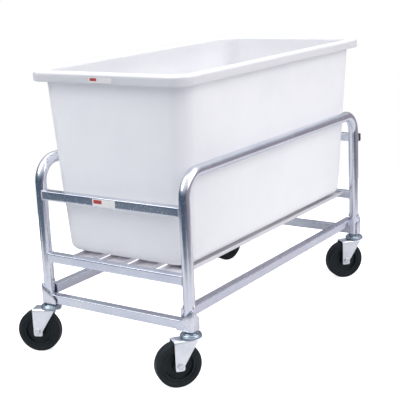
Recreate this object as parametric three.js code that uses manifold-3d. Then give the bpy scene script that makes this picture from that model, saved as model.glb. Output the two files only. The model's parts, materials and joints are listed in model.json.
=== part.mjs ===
// A tub cart: an open moulded tub standing on a welded aluminium tube chassis with
// four swivel casters. Millimetres, +X to the right side, +Y to the rear, +Z up.
import * as THREE from 'three';
import { mergeVertices } from 'three/addons/utils/BufferGeometryUtils.js';
import Module from 'manifold-3d';

const wasm = await Module();
wasm.setup();

// ---------------------------------------------------------------- driving dimensions
const fit = 0.3; // clearance between parts that touch

const postSpacingX = 492; // between the post axes, across the cart
const postSpacingY = 1012; // between the post axes, along the cart

const tubeDiameter = 31.75; // round tube of the side hoops
const tubeWall = 2;
const tubeSides = 16;
const hoopRise = 417.5; // centre line of the hoop's level run, above the posts' feet
const hoopBendRadius = 64; // centre line of each bend
const hoopBendSteps = 6;

const barSide = 25.4; // square tube of every bar and rail
const barWall = 2;
const sideRailGap = 4.1; // between the bottom bars' tops and the rails
const sideRailInset = 16.5; // rail centre line inboard of the post axes
const deckBarRise = 137.6; // centre lines above the posts' feet
const frontUpperBarRise = 321.5;
const rearUpperBarRise = 332;
const rearUpperBarOverhang = 5; // past the post axis at each end
const endPlugFlange = 3;
const endPlugDepth = 12;

const slatCount = 4;
const slatHeight = 12;
const slatWall = 2.5;
const slatGap = 25; // between slats
const slatLeftGap = 73.625; // the row sits towards the right: from its sides to the posts
const slatRightGap = 15.625;

const bracketThickness = 2.5;
const bracketCrest = 8; // level part of each top edge, at the corner
const bracketFrontReach = 52; // along the end of the cart, from the outer corner
const bracketFrontToe = 14; // height left at the end of that reach
const bracketSideReach = 34; // along the side of the cart
const bracketSideToe = 34;

const labelThickness = 0.6;
const barLabel = { width: 78, height: 20, x: -11 }; // on the front upper bar
const rimLabel = { width: 78, height: 15, x: 2 }; // on the front of the tub's rim

const rivetGap = 1.8; // between the side rail's top and the rivet's head
const rivetDiameter = 8;
const rivetHeadDiameter = 14;
const rivetHeadHeight = 3.5;

const tubHeight = 520.3;
const tubRimOverhangX = 22.5; // past the wall just under the rim
const tubRimOverhangY = 29;
const tubRimCorner = 56;
const tubRimHeight = 28.5;
const tubRimEdge = 7; // rounding of the rim's top edge
const tubWall = 5;
const tubHoopClearance = 1.5; // each side, between the wall and the hoops' level runs
const tubEndInset = 9; // from the post axes to the wall just under the rim
const tubTaperX = 32.5; // how far the wall comes in from the rim to the foot
const tubTaperY = 18;
const tubTopCorner = 58;
const tubFootCorner = 52;
const tubFootEdge = 22; // rounding between the walls and the underside
const tubFootClearance = 0.4; // between the slats and the tub
const tubOffsetY = 12.5; // the tub stands a little towards the rear
const tubCornerSteps = 6;
const tubEdgeSteps = 3;

const wheelDiameter = 127;
const wheelWidth = 32;
const tyreShoulder = 7;
const tyreShoulderRise = 0.35; // the shoulder's middle point, as shares of the shoulder
const tyreShoulderInset = 0.3;
const tyreDepth = 17.5; // from the tread to the core
const wheelSides = 32;
const coreSides = 24;
const hubDiameter = 34;
const hubWidth = 37.4;
const webThickness = 12;
const rimBandThickness = 6;
const rimBandInset = 1; // from the tyre's sides to the band's
const sleeveDiameter = 16;
const axleDiameter = 10;
const axleHeadAcross = 16; // hexagon, flat to flat
const axleHeadHeight = 5;
const nutHeight = 8;
const boltTip = 3; // past the nut

const trail = 40; // wheel axle behind the swivel axis
const forkPlate = 2.8;
const crownPlate = 3.2;
const crownFront = 28; // crown's edge ahead of the swivel axis
const crownFrontShare = 0.45; // the width of that edge, as a share of the crown's
const forkBack = 13; // from the axle to the fork's edge behind it
const forkFront = 13; // from the axle to the leg's edge ahead of it
const forkDrop = 14; // from the axle down to the leg's flat end
const forkEndCorner = 5;
const forkTopFront = 14;
const forkSideClearance = 0.8; // between hub face and fork leg
const tyreClearance = 2.2; // between tyre and crown
const raceDiameter = 60;
const raceHeight = 12;
const raceChamfer = 3;
const raceNeckDiameter = 40;
const raceNeckHeight = 7;
const pinDiameter = 10;
const pinHeadDiameter = 17;
const pinHeadHeight = 3;
const stemDiameter = 14;
const stemGap = 8; // between the stem's end and the rivet
const socketPastRivet = 12; // from the rivet's axis to the socket's end
const roundSides = 20;
const smallSides = 16; // holes, pins and bushes
const bite = 1; // how far the parts of one solid reach into each other

// The direction of each caster: degrees turned from trailing towards -X.
const corners = [
  { name: 'front_left', x: -1, y: -1, swivel: 23 },
  { name: 'front_right', x: 1, y: -1, swivel: 53 },
  { name: 'rear_left', x: -1, y: 1, swivel: 75 },
  { name: 'rear_right', x: 1, y: 1, swivel: 51 },
];

// ---------------------------------------------------------------- derived dimensions
const postX = postSpacingX / 2;
const postY = postSpacingY / 2;
const tubeRadius = tubeDiameter / 2;
const copeRadius = tubeRadius + fit;
const halfBar = barSide / 2;
const quarterTurn = Math.PI / 2;

const wheelRadius = wheelDiameter / 2;
const crownBase = wheelDiameter + tyreClearance;
const raceBase = crownBase + crownPlate + fit;
const raceTop = raceBase + raceHeight;
const legInside = hubWidth / 2 + forkSideClearance;
const legOutside = legInside + forkPlate;

const postFootHeight = raceTop + raceNeckHeight + fit; // lower end of the posts
const hoopHeight = postFootHeight + hoopRise;
const bottomBarHeight = postFootHeight + fit + halfBar;
const sideRailHeight = bottomBarHeight + barSide + sideRailGap;
const deckBarHeight = postFootHeight + deckBarRise;
const frontUpperBarHeight = postFootHeight + frontUpperBarRise;
const rearUpperBarHeight = postFootHeight + rearUpperBarRise;
const rearUpperBarY = postY + tubeRadius + fit + halfBar;
const rivetHeight = sideRailHeight + halfBar + rivetGap + rivetHeadDiameter / 2;
const bracketTop = rivetHeight - rivetHeadDiameter / 2 - fit;
const socketTop = rivetHeight + socketPastRivet;
const stemTop = rivetHeight - rivetDiameter / 2 - stemGap - fit;

const hoopInside = postX - tubeRadius; // from the middle to the hoops' inner faces
const slatRow = 2 * hoopInside - slatLeftGap - slatRightGap;
const slatWidth = (slatRow - (slatCount - 1) * slatGap) / slatCount;
const slatPitch = slatWidth + slatGap;
const slatRowCentre = (slatLeftGap - slatRightGap) / 2;
const slatTop = deckBarHeight + halfBar;

const tubFootHeight = slatTop + tubFootClearance;
const tubTop = tubFootHeight + tubHeight;
const rimBase = tubTop - tubRimHeight;
const hoopShare = (hoopHeight - tubFootHeight) / (rimBase - tubFootHeight);
const tubFootHalfX = hoopInside - tubHoopClearance - hoopShare * tubTaperX;
const tubTopHalfX = tubFootHalfX + tubTaperX;
const tubTopHalfY = postY - tubEndInset;
const tubFootHalfY = tubTopHalfY - tubTaperY;
const tubRimHalfX = tubTopHalfX + tubRimOverhangX;
const tubRimHalfY = tubTopHalfY + tubRimOverhangY;

// ---------------------------------------------------------------- materials
const finish = (color, roughness, metalness) =>
  new THREE.MeshStandardMaterial({ color, roughness, metalness });

const brushedAluminium = () => finish(0xb9bdc9, 0.34, 0.95);
const zincSteel = () => finish(0xd3d6da, 0.3, 0.95);
const darkPlating = () => finish(0x5f6c78, 0.32, 0.9);
const mouldedTub = () => finish(0xe3e4e8, 0.48, 0);
const hardRubber = () => finish(0x0c1214, 0.55, 0);
const wheelCore = () => finish(0x14191b, 0.5, 0);
const blackPlastic = () => finish(0x24282c, 0.5, 0);
const whiteFilm = () => finish(0xf3f1ef, 0.35, 0);
const acetal = () => finish(0xcfd1cc, 0.5, 0);

// ---------------------------------------------------------------- solids
// A closed three.js geometry as a manifold solid.
function solid(geometry) {
  geometry.deleteAttribute('normal');
  geometry.deleteAttribute('uv');
  const merged = mergeVertices(geometry, 1e-4);
  const index = merged.index.array;
  const kept = [];
  for (let i = 0; i < index.length; i += 3) {
    const [a, b, c] = [index[i], index[i + 1], index[i + 2]];
    if (a !== b && b !== c && c !== a) kept.push(a, b, c);
  }
  const mesh = new wasm.Mesh({
    numProp: 3,
    vertProperties: new Float32Array(merged.attributes.position.array),
    triVerts: new Uint32Array(kept),
  });
  return new wasm.Manifold(mesh);
}

function geometryOf(body) {
  const mesh = body.getMesh();
  const geometry = new THREE.BufferGeometry();
  geometry.setAttribute('position', new THREE.BufferAttribute(mesh.vertProperties, 3));
  geometry.setIndex(new THREE.BufferAttribute(mesh.triVerts, 1));
  geometry.computeVertexNormals();
  return geometry;
}

function part(name, body, material) {
  const mesh = new THREE.Mesh(geometryOf(body), material);
  mesh.name = name;
  return mesh;
}

// A solid disc or bar along an axis, between two heights on it.
function cylinder(axis, radius, from, to, sides = roundSides) {
  const geometry = new THREE.CylinderGeometry(radius, radius, to - from, sides);
  geometry.translate(0, (from + to) / 2, 0);
  if (axis === 'z') geometry.rotateX(Math.PI / 2);
  if (axis === 'x') geometry.rotateZ(-Math.PI / 2);
  return solid(geometry);
}

// A solid of revolution about +Y from a closed [radius, height] outline that runs
// upwards on its outside.
function turned(outline, sides, start = 0) {
  const points = outline.map(([radius, height]) => new THREE.Vector2(radius, height));
  points.push(points[0].clone());
  return solid(new THREE.LatheGeometry(points, sides, start));
}

function turnedUpright(outline, sides) {
  return turned(outline, sides).rotate([90, 0, 0]);
}

// A flat plate: an outline in X and Z, with holes, from one Y to another.
function uprightPlate(shape, fromY, toY) {
  const geometry = new THREE.ExtrudeGeometry(shape, {
    depth: toY - fromY,
    bevelEnabled: false,
    curveSegments: 6,
  });
  geometry.rotateX(Math.PI / 2);
  geometry.translate(0, toY, 0);
  return solid(geometry);
}

// A square tube with open ends, along X or Y, centred on the origin.
function squareTube(axis, length) {
  const inner = halfBar - barWall;
  const section = new THREE.Shape();
  section.moveTo(-halfBar, -halfBar);
  section.lineTo(halfBar, -halfBar);
  section.lineTo(halfBar, halfBar);
  section.lineTo(-halfBar, halfBar);
  const bore = new THREE.Path();
  bore.moveTo(-inner, -inner);
  bore.lineTo(-inner, inner);
  bore.lineTo(inner, inner);
  bore.lineTo(inner, -inner);
  section.holes.push(bore);
  const geometry = new THREE.ExtrudeGeometry(section, { depth: length, bevelEnabled: false });
  geometry.translate(0, 0, -length / 2);
  geometry.rotateX(Math.PI / 2);
  if (axis === 'x') geometry.rotateZ(Math.PI / 2);
  return solid(geometry);
}

// ---------------------------------------------------------------- chassis
// The hoop's centre line: up one post, over two bends and down the other post.
class HoopLine extends THREE.Curve {
  constructor() {
    super();
    const lift = hoopHeight - hoopBendRadius;
    const reach = postY - hoopBendRadius;
    this.stations = [];
    this.addStation(-postY, postFootHeight, 0, 1);
    for (let i = 0; i <= hoopBendSteps; i++) {
      const turn = (i / hoopBendSteps) * quarterTurn;
      const across = -reach - hoopBendRadius * Math.cos(turn);
      this.addStation(across, lift + hoopBendRadius * Math.sin(turn), Math.sin(turn), Math.cos(turn));
    }
    for (let i = 0; i <= hoopBendSteps; i++) {
      const turn = (i / hoopBendSteps) * quarterTurn;
      const across = reach + hoopBendRadius * Math.sin(turn);
      this.addStation(across, lift + hoopBendRadius * Math.cos(turn), Math.cos(turn), -Math.sin(turn));
    }
    this.addStation(postY, postFootHeight, 0, -1);
  }

  addStation(y, z, alongY, alongZ) {
    const point = new THREE.Vector3(0, y, z);
    const tangent = new THREE.Vector3(0, alongY, alongZ);
    this.stations.push({ point, tangent });
  }

  get steps() {
    return this.stations.length - 1;
  }

  getPointAt(u) {
    return this.stations[Math.round(u * this.steps)].point.clone();
  }

  getTangentAt(u) {
    return this.stations[Math.round(u * this.steps)].tangent.clone();
  }
}

function circlePath(path, radius, sides) {
  for (let i = 0; i < sides; i++) {
    const angle = (i / sides) * 2 * Math.PI;
    const x = radius * Math.cos(angle);
    const y = radius * Math.sin(angle);
    if (i === 0) path.moveTo(x, y);
    else path.lineTo(x, y);
  }
  return path;
}

function sideHoop(side) {
  const line = new HoopLine();
  const section = circlePath(new THREE.Shape(), tubeRadius, tubeSides);
  section.holes.push(circlePath(new THREE.Path(), tubeRadius - tubeWall, tubeSides));
  const geometry = new THREE.ExtrudeGeometry(section, { steps: line.steps, extrudePath: line });
  let body = solid(geometry);
  const hole = cylinder('x', rivetDiameter / 2 + fit, -tubeDiameter, tubeDiameter, smallSides);
  for (const end of [-1, 1]) {
    body = body.subtract(hole.translate([0, end * postY, rivetHeight]));
  }
  const mesh = part(side < 0 ? 'side_hoop_left' : 'side_hoop_right', body, brushedAluminium());
  mesh.position.x = side * postX;
  return mesh;
}

// A cross bar between two posts, its ends cut to the round of the posts.
function copedBar(name, y, z) {
  const tall = cylinder('z', copeRadius, -barSide, barSide, tubeSides);
  let body = squareTube('x', postSpacingX);
  for (const end of [-1, 1]) body = body.subtract(tall.translate([end * postX, 0, 0]));
  const mesh = part(name, body, brushedAluminium());
  mesh.position.set(0, y, z);
  return mesh;
}

function sideRail(side) {
  const tall = cylinder('z', copeRadius, -barSide, barSide, tubeSides);
  let body = squareTube('y', postSpacingY);
  for (const end of [-1, 1]) {
    body = body.subtract(tall.translate([side * sideRailInset, end * postY, 0]));
  }
  const mesh = part(side < 0 ? 'bottom_rail_left' : 'bottom_rail_right', body, brushedAluminium());
  mesh.position.set(side * (postX - sideRailInset), 0, sideRailHeight);
  return mesh;
}

function rearUpperBar() {
  const length = postSpacingX + 2 * rearUpperBarOverhang;
  const mesh = part('rear_upper_bar', squareTube('x', length), brushedAluminium());
  mesh.position.set(0, rearUpperBarY, rearUpperBarHeight);
  return mesh;
}

function endPlug(side) {
  const spigot = halfBar - barWall - fit;
  const flange = new THREE.BoxGeometry(endPlugFlange, barSide, barSide);
  const body = new THREE.BoxGeometry(endPlugDepth, 2 * spigot, 2 * spigot);
  flange.translate(side * (fit + endPlugFlange / 2), 0, 0);
  body.translate(side * (fit + endPlugFlange - endPlugDepth / 2), 0, 0);
  const plug = solid(flange).add(solid(body));
  const mesh = part(side < 0 ? 'end_plug_left' : 'end_plug_right', plug, blackPlastic());
  const end = postX + rearUpperBarOverhang;
  mesh.position.set(side * end, rearUpperBarY, rearUpperBarHeight);
  return mesh;
}

// A deck slat: an upright channel between the deck bars, its lips level with their tops.
function deckSlat(number) {
  const half = slatWidth / 2;
  const channel = new THREE.Shape();
  channel.moveTo(-half, -slatHeight);
  channel.lineTo(half, -slatHeight);
  channel.lineTo(half, 0);
  channel.lineTo(half - slatWall, 0);
  channel.lineTo(half - slatWall, slatWall - slatHeight);
  channel.lineTo(slatWall - half, slatWall - slatHeight);
  channel.lineTo(slatWall - half, 0);
  channel.lineTo(-half, 0);
  const end = postY - halfBar - fit;
  const mesh = part(`deck_slat_${number}`, uprightPlate(channel, -end, end), brushedAluminium());
  const place = number - (slatCount + 1) / 2;
  mesh.position.set(slatRowCentre + place * slatPitch, 0, slatTop);
  return mesh;
}

// One flange of a corner bracket, drawn from the outer corner inwards.
function bracketFlange(reach, toe, direction) {
  const shape = new THREE.Shape();
  shape.moveTo(0, 0);
  shape.lineTo(direction * reach, 0);
  shape.lineTo(direction * reach, toe);
  shape.lineTo(direction * bracketCrest, bracketTop - postFootHeight);
  shape.lineTo(0, bracketTop - postFootHeight);
  return uprightPlate(shape, 0, bracketThickness);
}

function cornerBracket(corner) {
  const outside = copeRadius + bracketThickness;
  const front = bracketFlange(bracketFrontReach, bracketFrontToe, -corner.x);
  const side = bracketFlange(bracketSideReach, bracketSideToe, -corner.x * corner.y);
  const shift = corner.y < 0 ? 0 : -bracketThickness;
  const turnedSide = side.rotate([0, 0, 90 * corner.x]);
  const frontPlaced = front.translate([0, shift, 0]);
  const body = frontPlaced.add(turnedSide);
  const mesh = part(`corner_bracket_${corner.name}`, body, brushedAluminium());
  mesh.position.set(
    corner.x * (postX + outside),
    corner.y * (postY + outside),
    postFootHeight,
  );
  return mesh;
}

function rivet(corner) {
  const seat = tubeRadius + fit;
  const shank = cylinder('x', rivetDiameter / 2, -seat - bite, seat + bite, smallSides);
  const outer = cylinder('x', rivetHeadDiameter / 2, seat, seat + rivetHeadHeight, smallSides);
  const inner = cylinder('x', rivetHeadDiameter / 2, -seat - rivetHeadHeight, -seat, smallSides);
  const body = shank.add(outer).add(inner);
  const mesh = part(`post_rivet_${corner.name}`, body, zincSteel());
  mesh.position.set(corner.x * postX, corner.y * postY, rivetHeight);
  return mesh;
}

// A plain label on a face that looks towards the front.
function label(name, size, y, z) {
  const plate = new THREE.BoxGeometry(size.width, labelThickness, size.height);
  const mesh = part(name, solid(plate), whiteFilm());
  mesh.position.set(size.x, y - fit - labelThickness / 2, z);
  return mesh;
}

// ---------------------------------------------------------------- tub
// A rounded rectangle as a ring of points, always with the same number of points.
function ring(halfX, halfY, corner, z) {
  const shape = new THREE.Shape();
  const turn = (count) => count * quarterTurn;
  shape.absarc(halfX - corner, halfY - corner, corner, turn(0), turn(1));
  shape.absarc(corner - halfX, halfY - corner, corner, turn(1), turn(2));
  shape.absarc(corner - halfX, corner - halfY, corner, turn(2), turn(3));
  shape.absarc(halfX - corner, corner - halfY, corner, turn(3), turn(4));
  return shape.curves
    .filter((curve) => curve.isEllipseCurve)
    .flatMap((curve) => curve.getPoints(tubCornerSteps))
    .map((point) => new THREE.Vector3(point.x, point.y, z));
}

// A closed skin through a stack of rings, with its first and last ring filled flat.
function lofted(rings) {
  const count = rings[0].length;
  const positions = rings.flat().flatMap((point) => point.toArray());
  const faces = [];
  for (let level = 0; level + 1 < rings.length; level++) {
    for (let i = 0; i < count; i++) {
      const a = level * count + i;
      const b = level * count + ((i + 1) % count);
      faces.push(a, b, b + count, a, b + count, a + count);
    }
  }
  const last = (rings.length - 1) * count;
  for (let i = 1; i + 1 < count; i++) {
    faces.push(0, i + 1, i);
    faces.push(last, last + i, last + i + 1);
  }
  const geometry = new THREE.BufferGeometry();
  geometry.setAttribute('position', new THREE.Float32BufferAttribute(positions, 3));
  geometry.setIndex(faces);
  return solid(geometry);
}

function tub() {
  // The wall's outside at a height, moved inwards by an inset.
  const wallRing = (z, inset) => {
    const t = (z - tubFootHeight) / (rimBase - tubFootHeight);
    const mix = (low, high) => low + (high - low) * t - inset;
    return ring(
      mix(tubFootHalfX, tubTopHalfX),
      mix(tubFootHalfY, tubTopHalfY),
      mix(tubFootCorner, tubTopCorner),
      z,
    );
  };
  const rimRing = (z, inset) =>
    ring(tubRimHalfX - inset, tubRimHalfY - inset, tubRimCorner - inset, z);
  const rings = [];
  // outside, from the underside up to the rim
  for (let i = 0; i <= tubEdgeSteps; i++) {
    const angle = (i / tubEdgeSteps) * quarterTurn;
    const rise = tubFootEdge * (1 - Math.cos(angle));
    rings.push(wallRing(tubFootHeight + rise, tubFootEdge * (1 - Math.sin(angle))));
  }
  rings.push(wallRing(tubTop - tubWall, 0));
  // the down-turned lip of the rim
  rings.push(rimRing(tubTop - tubWall, tubWall));
  rings.push(rimRing(rimBase, tubWall));
  rings.push(rimRing(rimBase, 0));
  for (let i = 0; i <= tubEdgeSteps; i++) {
    const angle = (i / tubEdgeSteps) * quarterTurn;
    const back = tubRimEdge * (1 - Math.cos(angle));
    rings.push(rimRing(tubTop - tubRimEdge * (1 - Math.sin(angle)), back));
  }
  // inside, down to the floor
  rings.push(wallRing(tubTop, tubWall));
  const innerEdge = tubFootEdge - tubWall;
  for (let i = tubEdgeSteps; i >= 0; i--) {
    const angle = (i / tubEdgeSteps) * quarterTurn;
    const rise = tubWall + innerEdge * (1 - Math.cos(angle));
    const inset = tubWall + innerEdge * (1 - Math.sin(angle));
    rings.push(wallRing(tubFootHeight + rise, inset));
  }
  const mesh = part('tub', lofted(rings), mouldedTub());
  mesh.position.y = tubOffsetY;
  return mesh;
}

// ---------------------------------------------------------------- casters
// The fixed half of the swivel: stem, neck and race, with the pin that holds the fork.
function swivelRace(corner) {
  const neckTop = postFootHeight - fit;
  const pinHeadTop = crownBase - fit;
  const race = raceDiameter / 2;
  const outline = [
    [0, pinHeadTop - pinHeadHeight],
    [pinHeadDiameter / 2, pinHeadTop - pinHeadHeight],
    [pinHeadDiameter / 2, pinHeadTop],
    [pinDiameter / 2, pinHeadTop],
    [pinDiameter / 2, raceBase],
    [race - raceChamfer, raceBase],
    [race, raceBase + raceChamfer],
    [race, raceTop - raceChamfer],
    [race - raceChamfer, raceTop],
    [raceNeckDiameter / 2, raceTop],
    [raceNeckDiameter / 2, neckTop],
    [stemDiameter / 2, neckTop],
    [stemDiameter / 2, stemTop],
    [0, stemTop],
  ];
  return part(`swivel_race_${corner.name}`, turnedUpright(outline, roundSides), darkPlating());
}

// The bush pressed into the post's foot, which takes the stem and the rivet.
function stemSocket(corner) {
  const outer = tubeRadius - tubeWall - fit;
  const inner = stemDiameter / 2 + fit;
  const outline = [
    [inner, postFootHeight],
    [outer, postFootHeight],
    [outer, socketTop],
    [inner, socketTop],
  ];
  const hole = cylinder('x', rivetDiameter / 2 + fit, -tubeDiameter, tubeDiameter, smallSides);
  const bush = turnedUpright(outline, smallSides).subtract(hole.translate([0, 0, rivetHeight]));
  return part(`stem_socket_${corner.name}`, bush, acetal());
}

// The fork: a crown over the wheel and two tapering legs down to the axle.
function fork(corner) {
  const axleX = -trail;
  const back = axleX - forkBack;
  const front = axleX + forkFront;
  const cornerHeight = wheelRadius - forkDrop + forkEndCorner;
  const leg = new THREE.Shape();
  leg.moveTo(back, crownBase + crownPlate);
  leg.lineTo(back, cornerHeight);
  leg.absarc(back + forkEndCorner, cornerHeight, forkEndCorner, 2 * quarterTurn, 3 * quarterTurn);
  leg.absarc(front - forkEndCorner, cornerHeight, forkEndCorner, 3 * quarterTurn, 4 * quarterTurn);
  leg.lineTo(front, wheelRadius);
  leg.lineTo(forkTopFront, crownBase);
  leg.lineTo(forkTopFront, crownBase + crownPlate);
  const bore = new THREE.Path();
  bore.absarc(axleX, wheelRadius, axleDiameter / 2 + fit, 0, 2 * Math.PI, true);
  leg.holes.push(bore);

  const crown = new THREE.Shape();
  crown.moveTo(back, -legOutside);
  crown.lineTo(forkTopFront, -legOutside);
  crown.lineTo(crownFront, crownFrontShare * -legOutside);
  crown.lineTo(crownFront, crownFrontShare * legOutside);
  crown.lineTo(forkTopFront, legOutside);
  crown.lineTo(back, legOutside);
  const pinHole = new THREE.Path();
  pinHole.absarc(0, 0, pinDiameter / 2 + fit, 0, 2 * Math.PI, true);
  crown.holes.push(pinHole);
  const crownGeometry = new THREE.ExtrudeGeometry(crown, {
    depth: crownPlate,
    bevelEnabled: false,
    curveSegments: 6,
  });
  crownGeometry.translate(0, 0, crownBase);

  const body = solid(crownGeometry)
    .add(uprightPlate(leg, legInside, legOutside))
    .add(uprightPlate(leg, -legOutside, -legInside));
  return part(`fork_${corner.name}`, body, zincSteel());
}

function tyre(corner) {
  const half = wheelWidth / 2;
  const inner = wheelRadius - tyreDepth + fit;
  const middle = wheelRadius - tyreShoulder * tyreShoulderRise;
  const middleHalf = half - tyreShoulder * tyreShoulderInset;
  const outline = [
    [inner, -half],
    [wheelRadius - tyreShoulder, -half],
    [middle, -middleHalf],
    [wheelRadius, tyreShoulder - half],
    [wheelRadius, half - tyreShoulder],
    [middle, middleHalf],
    [wheelRadius - tyreShoulder, half],
    [inner, half],
  ];
  return part(`tyre_${corner.name}`, turned(outline, wheelSides, Math.PI / wheelSides), hardRubber());
}

function core(corner) {
  const half = wheelWidth / 2 - rimBandInset;
  const web = webThickness / 2;
  const hub = hubDiameter / 2;
  const band = wheelRadius - tyreDepth - fit;
  const bore = sleeveDiameter / 2 + fit;
  const outline = [
    [bore, -hubWidth / 2 + fit],
    [hub, -hubWidth / 2 + fit],
    [hub, -web],
    [band - rimBandThickness, -web],
    [band - rimBandThickness, -half],
    [band, -half],
    [band, half],
    [band - rimBandThickness, half],
    [band - rimBandThickness, web],
    [hub, web],
    [hub, hubWidth / 2 - fit],
    [bore, hubWidth / 2 - fit],
  ];
  const body = turned(outline, coreSides);
  return part(`wheel_core_${corner.name}`, body, wheelCore());
}

function axleSleeve(corner) {
  const half = legInside - fit;
  const outline = [
    [axleDiameter / 2 + fit, -half],
    [sleeveDiameter / 2, -half],
    [sleeveDiameter / 2, half],
    [axleDiameter / 2 + fit, half],
  ];
  return part(`axle_sleeve_${corner.name}`, turned(outline, smallSides), zincSteel());
}

// Radius of a hexagon's corners from its distance across the flats.
const hexRadius = axleHeadAcross / Math.sqrt(3);

function axleBolt(corner) {
  const seat = legOutside + fit;
  const tip = seat + nutHeight + boltTip;
  const shank = cylinder('y', axleDiameter / 2, -seat - bite, tip, smallSides);
  const head = cylinder('y', hexRadius, -seat - axleHeadHeight, -seat, 6);
  return part(`axle_bolt_${corner.name}`, shank.add(head), zincSteel());
}

function axleNut(corner) {
  const seat = legOutside + fit;
  const hexagon = cylinder('y', hexRadius, seat, seat + nutHeight, 6);
  const bore = cylinder('y', axleDiameter / 2 + fit, 0, seat + 2 * nutHeight, smallSides);
  return part(`axle_nut_${corner.name}`, hexagon.subtract(bore), zincSteel());
}

function caster(corner) {
  const wheel = new THREE.Group();
  wheel.position.set(-trail, 0, wheelRadius);
  wheel.add(tyre(corner), core(corner), axleSleeve(corner), axleBolt(corner), axleNut(corner));
  const swivelling = new THREE.Group();
  swivelling.rotation.z = THREE.MathUtils.degToRad(corner.swivel);
  swivelling.add(fork(corner), wheel);
  const whole = new THREE.Group();
  whole.position.set(corner.x * postX, corner.y * postY, 0);
  whole.add(swivelRace(corner), stemSocket(corner), swivelling);
  return whole;
}

// ---------------------------------------------------------------- the cart
const cart = new THREE.Group();
cart.add(sideHoop(-1), sideHoop(1));
cart.add(copedBar('front_upper_bar', -postY, frontUpperBarHeight));
cart.add(copedBar('front_deck_bar', -postY, deckBarHeight));
cart.add(copedBar('rear_deck_bar', postY, deckBarHeight));
cart.add(copedBar('front_bottom_bar', -postY, bottomBarHeight));
cart.add(copedBar('rear_bottom_bar', postY, bottomBarHeight));
cart.add(sideRail(-1), sideRail(1));
cart.add(rearUpperBar(), endPlug(-1), endPlug(1));
for (let number = 1; number <= slatCount; number++) cart.add(deckSlat(number));
for (const corner of corners) cart.add(cornerBracket(corner), rivet(corner), caster(corner));
cart.add(tub());
cart.add(label('bar_label', barLabel, -postY - halfBar, frontUpperBarHeight));
const rimFaceHeight = (tubTop - tubRimEdge + rimBase) / 2;
cart.add(label('rim_label', rimLabel, tubOffsetY - tubRimHalfY, rimFaceHeight));

// The origin is under the middle of the cart's box, on the floor.
const box = new THREE.Box3().setFromObject(cart, true);
const middle = box.getCenter(new THREE.Vector3());
cart.position.set(-middle.x, -middle.y, -box.min.z);

const group = new THREE.Group();
group.add(cart);

export default group;
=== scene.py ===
"""The looks of a tub cart: a moulded tub in a welded tube chassis on four swivel casters."""

import json
import logging
import math
from dataclasses import dataclass, field
from enum import Enum
from typing import Any, Callable, Iterable, Sequence

import bmesh
import bpy
from mathutils import Matrix, Vector


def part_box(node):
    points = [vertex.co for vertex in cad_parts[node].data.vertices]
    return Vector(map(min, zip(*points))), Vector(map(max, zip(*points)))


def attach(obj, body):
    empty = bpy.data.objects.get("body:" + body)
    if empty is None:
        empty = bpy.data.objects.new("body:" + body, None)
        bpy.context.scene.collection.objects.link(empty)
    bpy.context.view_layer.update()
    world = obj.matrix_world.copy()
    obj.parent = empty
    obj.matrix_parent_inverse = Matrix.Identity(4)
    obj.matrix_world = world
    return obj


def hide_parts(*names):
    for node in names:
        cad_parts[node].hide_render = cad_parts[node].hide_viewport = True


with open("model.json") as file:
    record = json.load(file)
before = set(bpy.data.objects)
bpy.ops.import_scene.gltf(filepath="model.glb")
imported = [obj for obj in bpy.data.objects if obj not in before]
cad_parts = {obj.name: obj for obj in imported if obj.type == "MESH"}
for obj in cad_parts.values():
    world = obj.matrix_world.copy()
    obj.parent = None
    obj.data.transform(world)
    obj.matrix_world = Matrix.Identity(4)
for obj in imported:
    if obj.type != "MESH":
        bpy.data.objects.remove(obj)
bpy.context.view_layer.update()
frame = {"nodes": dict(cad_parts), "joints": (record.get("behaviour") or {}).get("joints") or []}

log = logging.getLogger("tub_cart")

Colour = tuple[float, float, float]
Pair = tuple[float, float]
Triple = tuple[float, float, float]

FULL_TURN = 2 * math.pi
QUARTER_TURN = math.pi / 2
SMOOTH_ANGLE = math.radians(32)
MERGE_DISTANCE = 1e-6


# ---------------------------------------------------------------- shader nodes


class Grain(Enum):
    """The way a finish's fine lines run: how much a pattern is stretched along each axis."""

    ACROSS = (0.03, 1.0, 1.0)
    ALONG = (1.0, 0.03, 1.0)
    UPRIGHT = (1.0, 1.0, 0.03)
    DRAWN = (0.03, 1.0, 1.0)
    NONE = (1.0, 1.0, 1.0)


class Channel:
    """A shader socket in an expression. Its operators add Math nodes."""

    def __init__(self, shader: "Shader", socket: bpy.types.NodeSocket) -> None:
        """Keeps the socket and the shader that it belongs to."""
        self.shader = shader
        self.socket = socket

    def math(self, operation: str, *values: Any, clamp: bool = False) -> "Channel":
        """Adds one Math node.

        Args:
            operation: The node's operation.
            values: Its inputs, in order, as channels or numbers.
            clamp: True to keep the result between 0 and 1.

        Returns:
            The node's result.
        """
        settings = {"operation": operation, "use_clamp": clamp}
        return self.shader.node("ShaderNodeMath", settings, dict(enumerate(values)))

    def __add__(self, other: Any) -> "Channel":
        """Returns self + other."""
        return self.math("ADD", self, other)

    def __sub__(self, other: Any) -> "Channel":
        """Returns self - other."""
        return self.math("SUBTRACT", self, other)

    def __rsub__(self, other: Any) -> "Channel":
        """Returns other - self."""
        return self.math("SUBTRACT", other, self)

    def __mul__(self, other: Any) -> "Channel":
        """Returns self * other."""
        return self.math("MULTIPLY", self, other)

    __radd__ = __add__
    __rmul__ = __mul__

    def smooth(self, low: float, high: float) -> "Channel":
        """Returns 0 below low, 1 above high and a smooth rise between them."""
        settings = {"interpolation_type": "SMOOTHSTEP"}
        inputs = {"Value": self, "From Min": low, "From Max": high}
        return self.shader.node("ShaderNodeMapRange", settings, inputs)


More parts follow.
